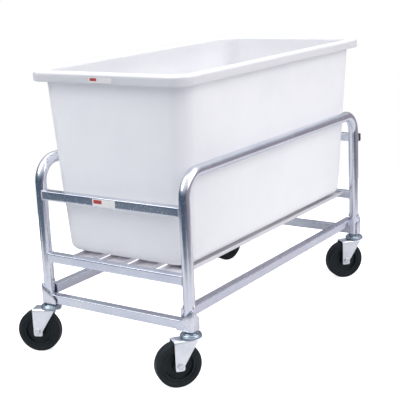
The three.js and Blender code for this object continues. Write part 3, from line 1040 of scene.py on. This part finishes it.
    def slats(self) -> None:
        """Builds the row of deck slats: upright channels with bent corners."""
        low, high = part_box("deck_slat_1")
        x, half = (low.x + high.x) / 2, (high.x - low.x) / 2
        mid = self.slat_wall / 2
        bend = self.slat_bend + mid
        path = [
            (-half + mid, high.z, -1, 0),
            (-half + mid, low.z + mid + bend, -1, 0),
        ]
        parts = 6
        corner = (-half + mid + bend, low.z + mid + bend)
        for k in range(1, parts):
            angle = math.pi + k / parts * QUARTER_TURN
            nx, nz = math.cos(angle), math.sin(angle)
            path.append((corner[0] + bend * nx, corner[1] + bend * nz, nx, nz))
        path.append((corner[0], low.z + mid, 0, -1))
        path += [(-px, pz, -nx, nz) for px, pz, nx, nz in reversed(path)]
        stations = [
            Station(Vector((x + px, 0, pz)), Vector((nx, 0, nz)), low.y, high.y) for px, pz, nx, nz in path
        ]
        slat = folded("deck_slat", stations, Vector((0, 1, 0)), self.slat_wall, Matrix(), 0.0005)
        values = {"Count": 4, "Step": (self.slat_pitch, 0.0, 0.0)}
        # The slats take the aluminium lightened with painted light.
        mesh = row_pattern(SLAT_METAL_PAINTED_LIGHT).run(slat, values)
        nodes = [f"deck_slat_{number}" for number in range(1, 5)]
        new_piece("deck_slats", mesh, self.body, SLAT_METAL_PAINTED_LIGHT, *nodes)

    def bracket(self, corner: "Corner") -> None:
        """Builds one corner bracket: a plate bent round the foot of its post."""
        node = f"corner_bracket_{corner.name}"
        low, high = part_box(node)
        thick = self.plate
        height = high.z - low.z
        reach_x, reach_y = high.x - low.x, high.y - low.y
        bend = self.bracket_bend + thick / 2
        inset = thick / 2 + bend

        def top(distance: float, reach: float, toe: float) -> float:
            """Returns the plate's height at a distance from the outer corner."""
            slope = (distance - self.bracket_crest) / (reach - self.bracket_crest)
            return low.z + height + (toe - height) * min(1.0, max(0.0, slope))

        stations = []
        across = Vector((0, 0, 1))
        for distance in (reach_x, reach_x * 0.6, inset):
            here = Vector((distance, thick / 2, 0))
            edge = top(distance, reach_x, self.bracket_front_toe)
            stations.append(Station(here, Vector((0, -1, 0)), low.z, edge))
        parts = 6
        for k in range(1, parts):
            angle = -QUARTER_TURN - k / parts * QUARTER_TURN
            out = Vector((math.cos(angle), math.sin(angle), 0))
            middle = Vector((inset, inset, 0)) + out * bend
            stations.append(Station(middle, out, low.z, high.z))
        for distance in (inset, reach_y * 0.7, reach_y):
            here = Vector((thick / 2, distance, 0))
            edge = top(distance, reach_y, self.bracket_side_toe)
            stations.append(Station(here, Vector((-1, 0, 0)), low.z, edge))
        origin = Vector((low.x if corner.x < 0 else high.x, low.y if corner.y < 0 else high.y, 0))
        place = Matrix.Translation(origin) @ Matrix.Diagonal((-corner.x, -corner.y, 1, 1))
        mesh = folded(node, stations, across, thick, place, 0.0006)
        new_piece(f"{node}_plate", mesh, self.body, BRACKET_METAL, node)

    def rivets(self) -> None:
        """Builds the rivets through the posts' feet, one mesh for all four posts."""
        meshes = []
        for corner in CORNERS:
            low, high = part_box(f"post_rivet_{corner.name}")
            middle = (low + high) / 2
            half, radius = (high.x - low.x) / 2, (high.z - low.z) / 2
            seat = self.cope
            dome = [(0.0, half), (radius * 0.45, half * 0.985), (radius * 0.8, half * 0.93)]
            dome.append((radius, seat + 0.0008))
            outline = [*dome, (radius, seat), (radius * 0.5, seat)]
            outline += [(r, -h) for r, h in reversed(outline)]
            place = Matrix.Translation(middle) @ Matrix.Rotation(QUARTER_TURN, 4, "Y")
            meshes.append(turned("rivet", outline, 24, place))
        nodes = [f"post_rivet_{corner.name}" for corner in CORNERS]
        new_piece("post_rivets", joined("post_rivets", meshes), self.body, BOLT_ZINC, *nodes)

    def welds(self) -> None:
        """Builds the weld beads along the lines that were collected."""
        values = {"Radius": self.bead.radius, "Ripple": self.bead.ripple, "Depth": self.bead.swell}
        mesh = weld_pattern(WELD_METAL).run(path_mesh(self.loops, True), values)
        new_piece("weld_beads", mesh, self.body, WELD_METAL)


# ---------------------------------------------------------------- tub


@dataclass
class Tub:
    """The moulded tub with its rolled rim, and the label on the rim."""

    body: str = "lift_out_tub"
    rim_corner: float = 0.056
    top_corner: float = 0.058
    foot_corner: float = 0.052
    rim_height: float = 0.0285
    rim_edge: float = 0.007
    wall: float = 0.005
    top_half: Pair = (0.2435, 0.497)
    foot_half: Pair = (0.211, 0.479)
    foot_edge: float = 0.022
    corner_parts: int = 14
    straight_parts: int = 7
    wall_parts: int = 14
    round_parts: int = 7

    def __post_init__(self) -> None:
        """Finds the tub's middle, its foot and its top."""
        low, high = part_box("tub")
        self.middle = (low + high) / 2
        self.rim_half = ((high.x - low.x) / 2, (high.y - low.y) / 2)
        self.foot, self.top = low.z, high.z
        self.rim_base = self.top - self.rim_height

    def build(self) -> None:
        """Builds the shell and the label."""
        new_piece("tub_shell", lofted("tub_shell", self.rings()), self.body, TUB_SKIN, "tub")
        build_label("rim_label", "rim_label", self.body, 0.34)

    def ring(self, half_x: float, half_y: float, corner: float, z: float) -> list[Vector]:
        """Returns a rounded rectangle round the tub's middle at a height."""
        points = []
        margin = 0.05
        spans = ((1, 1), (-1, 1), (-1, -1), (1, -1))
        for quarter, (sx, sy) in enumerate(spans):
            centre = Vector((sx * (half_x - corner), sy * (half_y - corner)))
            for k in range(self.corner_parts + 1):
                angle = (quarter + k / self.corner_parts) * QUARTER_TURN
                out = Vector((math.cos(angle), math.sin(angle)))
                points.append(centre + out * corner)
            sx2, sy2 = spans[(quarter + 1) % 4]
            after = Vector((sx2 * (half_x - corner), sy2 * (half_y - corner)))
            start = points[-1]
            end = after + Vector((math.cos(angle), math.sin(angle))) * corner
            for k in range(self.straight_parts):
                t = margin + (1 - 2 * margin) * k / (self.straight_parts - 1)
                points.append(start.lerp(end, t))
        return [Vector((self.middle.x + p.x, self.middle.y + p.y, z)) for p in points]

    def wall_ring(self, z: float, inset: float) -> list[Vector]:
        """Returns the wall's outline at a height, moved inwards by an inset."""
        share = (z - self.foot) / (self.rim_base - self.foot)
        mix = lambda low, high: low + (high - low) * share - inset
        half_x = mix(self.foot_half[0], self.top_half[0])
        half_y = mix(self.foot_half[1], self.top_half[1])
        return self.ring(half_x, half_y, mix(self.foot_corner, self.top_corner), z)

    def rim_ring(self, z: float, inset: float) -> list[Vector]:
        """Returns the rim's outline at a height, moved inwards by an inset."""
        half_x, half_y = self.rim_half
        return self.ring(half_x - inset, half_y - inset, self.rim_corner - inset, z)

    def rounding(self) -> list[Pair]:
        """Returns the cosine and sine of each step of a quarter turn."""
        angles = [k / self.round_parts * QUARTER_TURN for k in range(self.round_parts + 1)]
        return [(math.cos(a), math.sin(a)) for a in angles]

    def heights(self, low: float, high: float) -> list[float]:
        """Returns evenly spaced heights between two, set a little in from both ends."""
        near = 0.004
        span = (high - low - 2 * near) / self.wall_parts
        inner = [low + near + span * k for k in range(self.wall_parts + 1)]
        return inner

    def rings(self) -> list[list[Vector]]:
        """Returns the shell's rings from the underside, over the rim, to the inner floor."""
        edge, wall, rim = self.foot_edge, self.wall, self.rim_edge
        under = self.top - wall
        rings = [self.wall_ring(self.foot, edge + 0.06), self.wall_ring(self.foot, edge + 0.003)]
        for c, s in self.rounding():
            rings.append(self.wall_ring(self.foot + edge * (1 - c), edge * (1 - s)))
        for z in self.heights(self.foot + edge, under - 0.004):
            rings.append(self.wall_ring(z, 0))
        fillet = 0.004
        for c, s in self.rounding():
            rings.append(self.wall_ring(under - fillet * (1 - s), -fillet * (1 - c)))
        tuck = 0.003
        for c, s in self.rounding():
            rings.append(self.rim_ring(under - tuck * (1 - c), wall + tuck * (1 - s)))
        rings.append(self.rim_ring(self.rim_base + 0.006, wall))
        lip = wall / 2
        for k in range(2 * self.round_parts + 1):
            angle = k / (2 * self.round_parts) * math.pi
            height = self.rim_base + lip * (1 - math.sin(angle))
            rings.append(self.rim_ring(height, lip * (1 + math.cos(angle))))
        rings.append(self.rim_ring(self.rim_base + 0.006, 0))
        rings.append(self.rim_ring(self.top - rim - 0.002, 0))
        for c, s in self.rounding():
            rings.append(self.rim_ring(self.top - rim * (1 - s), rim * (1 - c)))
        rings.append(self.rim_ring(self.top, rim + 0.002))
        inner = 0.006
        rings.append(self.wall_ring(self.top, wall - inner - 0.002))
        for c, s in self.rounding():
            rings.append(self.wall_ring(self.top - inner * (1 - c), wall - inner * (1 - s)))
        floor_edge = edge - wall
        bottom = self.foot + wall
        for z in reversed(self.heights(bottom + floor_edge, self.top - inner)):
            rings.append(self.wall_ring(z, wall))
        for c, s in reversed(self.rounding()):
            rings.append(self.wall_ring(bottom + floor_edge * (1 - c), wall + floor_edge * (1 - s)))
        rings.append(self.wall_ring(bottom, wall + floor_edge + 0.003))
        rings.append(self.wall_ring(bottom, wall + floor_edge + 0.06))
        return rings


def build_label(name: str, node: str, body: str, band_share: float) -> None:
    """Builds a film label with round corners on its node's place.

    Args:
        name: The name of its finish and piece.
        node: The solid that it stands for.
        body: The body that it moves with.
        band_share: The share of its width that its coloured band takes.
    """
    low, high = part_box(node)
    radius = 0.002
    corners = [
        (low.x, low.z, radius),
        (high.x, low.z, radius),
        (high.x, high.z, radius),
        (low.x, high.z, radius),
    ]
    outline = filleted(corners)
    rings = [[Vector((x, y, z)) for x, z in outline] for y in (high.y, low.y)]
    width, height = high.x - low.x, high.z - low.z
    finish = FilmFinish(
        f"{name}_film",
        "label_film",
        (0.9, 0.89, 0.88),
        (0.52, 0.06, 0.055),
        low.x + width * 0.05,
        low.x + width * band_share,
        low.z + height * 0.32,
        high.z - height * 0.14,
    )
    new_piece(f"{name}_sheet", lofted(name, rings), body, finish, node)


# ---------------------------------------------------------------- casters


@dataclass
class Corner:
    """One corner of the cart and the caster under it.

    Attributes:
        name: The corner's name.
        x: -1 on the left and 1 on the right.
        y: -1 at the front and 1 at the rear.
    """

    name: str
    x: int
    y: int

    def joint(self, kind: str) -> dict[str, Any]:
        """Returns the caster's swivel or roll joint."""
        found = [joint for joint in frame["joints"] if joint["name"] == f"{kind}_{self.name}"]
        return found[0]


CORNERS = [
    Corner("front_left", -1, -1),
    Corner("front_right", 1, -1),
    Corner("rear_left", -1, 1),
    Corner("rear_right", 1, 1),
]


@dataclass
class Caster:
    """A swivel caster: race, fork, tyre, core, bolt and nut."""

    corner: Corner
    wheel_radius: float = 0.0635
    wheel_width: float = 0.032
    tyre_inner: float = 0.046
    shoulder: float = 0.007
    hub_radius: float = 0.017
    hub_half: float = 0.0187
    web: float = 0.012
    band: float = 0.006
    sleeve_radius: float = 0.008
    leg_inside: float = 0.0195
    fork_plate: float = 0.0028
    crown_base: float = 0.1292
    crown_plate: float = 0.0032
    crown_front: float = 0.028
    fork_front: float = 0.014
    fork_back: float = 0.053
    fork_bend: float = 0.004
    leg_front: float = 0.013
    leg_drop: float = 0.014
    leg_corner: float = 0.005
    trail: float = 0.04
    gap: float = 0.0003
    hex_across: float = 0.016
    head_height: float = 0.005
    nut_height: float = 0.008
    bolt_radius: float = 0.005
    bolt_tip: float = 0.003
    bite: float = 0.001
    crest_rise: float = 0.0004
    head_crest: float = 0.0062
    nut_crest: float = 0.007

    def __post_init__(self) -> None:
        """Finds the caster's place and direction."""
        swivel = Vector(self.corner.joint("swivel")["pos_m"])
        roll = Vector(self.corner.joint("roll")["pos_m"])
        behind = swivel - roll
        self.axle_height = roll.z
        turn = math.atan2(behind.y, behind.x)
        floor = roll.z - self.wheel_radius
        origin = Vector((swivel.x, swivel.y, floor))
        self.place = Matrix.Translation(origin) @ Matrix.Rotation(turn, 4, "Z")
        lay_down = Matrix.Rotation(-QUARTER_TURN, 4, "X")
        axle = Matrix.Translation((-self.trail, 0, self.wheel_radius))
        self.axle_place = self.place @ axle @ lay_down
        self.fork_body = f"caster_{self.corner.name}"
        self.wheel_body = f"wheel_{self.corner.name}"

    def build(self) -> None:
        """Builds every piece of the caster."""
        self.race()
        self.fork()
        self.tyre()
        self.core()
        self.hardware()
        Workshop.keep_node(f"axle_sleeve_{self.corner.name}", BOLT_ZINC)

    def race(self) -> None:
        """Builds the fixed swivel race with its stem and pin."""
        node = f"swivel_race_{self.corner.name}"
        low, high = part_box(node)
        floor = self.place.translation.z
        base = self.crown_base + self.crown_plate + self.gap
        top = base + 0.012
        neck = 0.1517
        corners = [
            (0.0, low.z - floor, 0),
            (0.0085, low.z - floor, 0.0008),
            (0.0085, low.z - floor + 0.003, 0.0004),
            (0.005, low.z - floor + 0.003, 0),
            (0.005, base, 0),
            (0.026, base, 0.0012),
            (0.0285, base + 0.0022, 0.001),
            (0.03, base + 0.0022, 0.0006),
            (0.03, base + 0.0062, 0.0014),
            (0.0285, base + 0.0072, 0.0006),
            (0.0285, base + 0.0092, 0.001),
            (0.0255, top, 0.002),
            (0.02, top, 0.002),
            (0.0185, neck, 0.0012),
            (0.007, neck, 0),
            (0.007, high.z - floor, 0.001),
            (0.0, high.z - floor, 0),
        ]
        mesh = turned(node, filleted(corners), 56, self.place)
        # The race's ring takes the zinc plating darkened with painted shade.
        new_piece(f"{node}_ring", mesh, "chassis", RACE_PLATING_PAINTED_SHADE, node)

    def leg_span(self, height: float) -> Pair:
        """Returns the leg's rear and front limit at a height."""
        if height < self.wheel_radius:
            sunk = max(0.0, self.wheel_radius - self.leg_drop + self.leg_corner - height)
            ease = self.leg_corner - math.sqrt(max(0.0, self.leg_corner**2 - sunk**2))
            return ease - self.fork_back, self.leg_front - self.trail - ease
        share = (height - self.wheel_radius) / (self.crown_base - self.wheel_radius)
        front = self.leg_front - self.trail
        return -self.fork_back, front + (self.fork_front - front) * min(1.0, share)

    def fork(self) -> None:
        """Builds the fork: one plate bent over the wheel, with a tapering leg each side."""
        outside = self.leg_inside + self.fork_plate / 2
        crown = self.crown_base + self.crown_plate / 2
        foot = self.wheel_radius - self.leg_drop
        heights = [foot + self.leg_corner * (1 - math.cos(k / 8 * QUARTER_TURN)) for k in range(9)]
        heights += [self.wheel_radius, self.wheel_radius + 0.03, crown - self.fork_bend]
        half_path = []
        for height in heights:
            rear, front = self.leg_span(height)
            half_path.append(Station(Vector((0, -outside, height)), Vector((0, -1, 0)), rear, front))
        parts = 6
        for k in range(1, parts + 1):
            angle = math.pi - k / parts * QUARTER_TURN
            out = Vector((0, math.cos(angle), math.sin(angle)))
            middle = Vector((0, -outside + self.fork_bend, crown - self.fork_bend)) + out * self.fork_bend
            front = self.fork_front + 0.002 * k / parts
            half_path.append(Station(middle, out, -self.fork_back, front))
        half_path.append(
            Station(Vector((0, -0.45 * outside, crown)), Vector((0, 0, 1)), -self.fork_back, self.crown_front)
        )
        other = [
            Station(
                Vector((0, -s.middle.y, s.middle.z)), Vector((0, -s.normal.y, s.normal.z)), s.low, s.high
            )
            for s in reversed(half_path)
        ]
        node = f"fork_{self.corner.name}"
        mesh = folded(
            node, [*half_path, *other], Vector((1, 0, 0)), self.fork_plate, self.place, 0.0006
        )
        new_piece(f"{node}_plate", mesh, self.fork_body, FORK_ZINC, node)

    def tyre(self) -> None:
        """Builds the tyre with round shoulders and a moulding line in each side."""
        half, outer, inner = self.wheel_width / 2, self.axle_height, self.tyre_inner + self.gap
        side = [
            (inner, 0.0012),
            (inner + 0.0035, 0.0004),
            (inner + 0.0042, 0.0003),
            (inner + 0.0052, 0.0003),
            (inner + 0.0059, 0.0004),
        ]
        groove = [0.0, 0.0, 0.0007, 0.0007, 0.0]
        corners = [(r, -half + g, f) for (r, f), g in zip(side, groove)]
        corners += [(outer, -half, self.shoulder), (outer, half, self.shoulder)]
        corners += [(r, half - g, f) for (r, f), g in reversed(list(zip(side, groove)))]
        node = f"tyre_{self.corner.name}"
        mesh = turned(node, filleted(corners, 6), 96, self.axle_place)
        new_piece(f"{node}_ring", mesh, self.wheel_body, TYRE_RUBBER, node)

    def core(self) -> None:
        """Builds the wheel's core: hub, web and outer band."""
        half = self.wheel_width / 2 - 0.001
        band = self.tyre_inner - self.gap
        web = self.web / 2
        bore, hub_half = self.sleeve_radius + self.gap, self.hub_half - self.gap
        upper = [
            (band, half, 0.001),
            (band - self.band, half, 0.001),
            (band - self.band - 0.002, web, 0.003),
            (self.hub_radius + 0.002, web, 0.003),
            (self.hub_radius, hub_half, 0.001),
            (bore, hub_half, 0.0005),
        ]
        lower = [(r, -h, f) for r, h, f in reversed(upper)]
        node = f"wheel_core_{self.corner.name}"
        mesh = turned(node, filleted([*upper, *lower]), 64, self.axle_place)
        new_piece(f"{node}_disc", mesh, self.wheel_body, CORE_RUBBER, node)

    def hexagon(self, low: float, high: float, bore: float) -> bpy.types.Mesh:
        """Makes a hexagon along the axle with eased corners and a raised round.

        Args:
            low: Its lower end along the axle.
            high: Its upper end.
            bore: The radius of a raised round on its outer end.

        Returns:
            The mesh.
        """
        radius = self.hex_across / math.sqrt(3)
        form = bmesh.new()
        rings = []
        for height in (low, high):
            ring = []
            for k in range(6):
                angle = k / 6 * FULL_TURN
                ring.append(form.verts.new((radius * math.cos(angle), radius * math.sin(angle), height)))
            rings.append(ring)
        bridge(form, *rings)
        for ring in rings:
            form.faces.new(ring)
        form.transform(self.axle_place)
        block = eased(closed_mesh("hexagon", form), 0.0008)
        outer, way = (high, 1) if high > 0 else (low, -1)
        sunk, raised = outer - way * self.bite, outer + way * self.crest_rise
        crest = filleted([(0.0, sunk, 0), (bore, sunk, 0), (bore, raised, 0.0003), (0.0, raised, 0)])
        return joined("hexagon", [block, turned("crest", crest, 24, self.axle_place)])

    def hardware(self) -> None:
        """Builds the axle bolt and its nut."""
        seat = self.leg_inside + self.fork_plate + self.gap
        tip = seat + self.nut_height + self.bolt_tip
        sunk = -seat - self.bite
        head = self.hexagon(-seat - self.head_height, -seat, self.head_crest)
        shank_outline = filleted(
            [(0.0, sunk, 0), (self.bolt_radius, sunk, 0), (self.bolt_radius, tip, 0.0015), (0.0, tip, 0)]
        )
        shank = turned("shank", shank_outline, 28, self.axle_place)
        name = self.corner.name
        bolt = joined("bolt", [head, shank])
        new_piece(f"axle_bolt_{name}_hex", bolt, self.fork_body, BOLT_ZINC, f"axle_bolt_{name}")
        nut = self.hexagon(seat, seat + self.nut_height, self.nut_crest)
        new_piece(f"axle_nut_{name}_hex", nut, self.fork_body, BOLT_ZINC, f"axle_nut_{name}")


# ---------------------------------------------------------------- studio


@dataclass
class Studio:
    """A pale floor, soft lights and the camera."""

    camera_at: Vector = field(default_factory=lambda: Vector((1.67946, -2.46904, 1.11249)))
    target: Vector = field(default_factory=lambda: Vector((-0.01505, 0.02363, 0.35758)))
    roll: float = math.radians(-2.61)
    lens: float = 88.2
    sensor: float = 36.0
    floor_sides: tuple[float, float, float, float] = (-1.35, 1.3, -1.5, 1.9)

    def build(self) -> None:
        """Builds the floor, the surroundings, the lights and the camera."""
        self.floor()
        self.surroundings()
        self.light("key", Vector((-1.4, -2.6, 3.0)), 2.6, 60.0)
        self.light("fill", Vector((3.0, 0.4, 2.4)), 2.6, 62.0)
        self.light("top", Vector((0.0, 0.2, 3.6)), 3.2, 38.0)
        self.camera()
        bpy.context.scene.view_settings.view_transform = "Standard"

    def floor(self) -> None:
        """Builds the plain pale floor."""
        left, right, front, rear = self.floor_sides
        mesh = bpy.data.meshes.new("floor")
        square = [(left, front, 0), (right, front, 0), (right, rear, 0), (left, rear, 0)]
        mesh.from_pydata(square, [], [(0, 1, 2, 3)])
        shader = Shader("pale_floor")
        seen = shader.node("ShaderNodeLightPath", output="Is Camera Ray")
        inputs = {
            "Base Color": (0.62, 0.62, 0.64, 1.0),
            "Roughness": 0.9,
            "Specular IOR Level": 0.0,
            "Emission Color": shader.mix(seen, (0.0, 0.0, 0.0), (1.0, 1.0, 1.0)),
            "Emission Strength": 0.8,
        }
        mesh.materials.append(shader.close(inputs))
        floor = bpy.data.objects.new("floor", mesh)
        bpy.context.scene.collection.objects.link(floor)

    def surroundings(self) -> None:
        """Builds the room's light: bright above and darker round the horizon."""
        world = bpy.data.worlds.new("room")
        world.use_nodes = True
        nodes, links = world.node_tree.nodes, world.node_tree.links
        nodes.clear()
        place = nodes.new("ShaderNodeTexCoord")
        split = nodes.new("ShaderNodeSeparateXYZ")
        links.new(place.outputs["Generated"], split.inputs[0])
        side = nodes.new("ShaderNodeVectorMath")
        side.operation = "DOT_PRODUCT"
        side.inputs[1].default_value = (0.55, 0.75, 0.0)
        links.new(place.outputs["Generated"], side.inputs[0])
        stops = [(0.0, (0.1, 0.14, 0.19)), (0.5, (0.06, 0.1, 0.15)), (0.6, (0.16, 0.2, 0.26))]
        height = self.ramp(nodes, [*stops, (0.82, (0.95, 0.95, 0.97))])
        bright = self.ramp(nodes, [(0.35, (0.0, 0.0, 0.0)), (0.85, (0.36, 0.32, 0.36))])
        for source, ramp in ((split.outputs["Z"], height), (side.outputs["Value"], bright)):
            shift = nodes.new("ShaderNodeMath")
            shift.operation = "MULTIPLY_ADD"
            shift.inputs[1].default_value = 0.5
            shift.inputs[2].default_value = 0.5
            links.new(source, shift.inputs[0])
            links.new(shift.outputs[0], ramp.inputs[0])
        total = nodes.new("ShaderNodeMix")
        total.data_type = "RGBA"
        total.blend_type = "LIGHTEN"
        total.inputs[0].default_value = 1.0
        links.new(height.outputs[0], total.inputs[6])
        links.new(bright.outputs[0], total.inputs[7])
        rays = nodes.new("ShaderNodeLightPath")
        seen = nodes.new("ShaderNodeMix")
        seen.data_type = "RGBA"
        seen.inputs[7].default_value = (1.0, 1.0, 1.0, 1.0)
        links.new(rays.outputs["Is Camera Ray"], seen.inputs[0])
        links.new(total.outputs[2], seen.inputs[6])
        background = nodes.new("ShaderNodeBackground")
        links.new(seen.outputs[2], background.inputs["Color"])
        out = nodes.new("ShaderNodeOutputWorld")
        links.new(background.outputs[0], out.inputs[0])
        bpy.context.scene.world = world

    @staticmethod
    def ramp(nodes: bpy.types.Nodes, stops: Sequence[tuple[float, Colour]]) -> bpy.types.Node:
        """Adds a colour ramp with those stops."""
        made = nodes.new("ShaderNodeValToRGB")
        ramp = made.color_ramp
        while len(ramp.elements) < len(stops):
            ramp.elements.new(0.5)
        for element, (position, colour) in zip(ramp.elements, stops):
            element.position = position
            element.color = (*colour, 1.0)
        return made

    def light(self, name: str, place: Vector, size: float, power: float) -> None:
        """Adds a square soft light that faces the cart.

        Args:
            name: Its name.
            place: Its place.
            size: Its side.
            power: Its power in watts.
        """
        data = bpy.data.lights.new(name, "AREA")
        data.shape = "SQUARE"
        data.size = size
        data.energy = power
        lamp = bpy.data.objects.new(name, data)
        lamp.location = place
        lamp.rotation_euler = (self.target - place).to_track_quat("-Z", "Y").to_euler()
        bpy.context.scene.collection.objects.link(lamp)

    def camera(self) -> None:
        """Adds the camera."""
        data = bpy.data.cameras.new("camera")
        data.lens = self.lens
        data.sensor_width = self.sensor
        data.clip_end = 50
        ahead = (self.target - self.camera_at).normalized()
        right = ahead.cross(Vector((0, 0, 1))).normalized()
        up = right.cross(ahead)
        c, s = math.cos(self.roll), math.sin(self.roll)
        axis_x = right * c + up * s
        axis_y = up * c - right * s
        turn = Matrix((axis_x, axis_y, -ahead)).transposed().to_4x4()
        made = bpy.data.objects.new("camera", data)
        made.matrix_world = Matrix.Translation(self.camera_at) @ turn
        bpy.context.scene.collection.objects.link(made)
        bpy.context.scene.camera = made


def main() -> None:
    """Builds the cart and its studio."""
    logging.basicConfig(level=logging.INFO)
    chassis = Chassis()
    chassis.build()
    build_label("bar_label", "bar_label", "chassis", 0.42)
    Tub().build()
    for corner in CORNERS:
        Caster(corner).build()
    Studio().build()


if __name__ == "__main__":
    main()
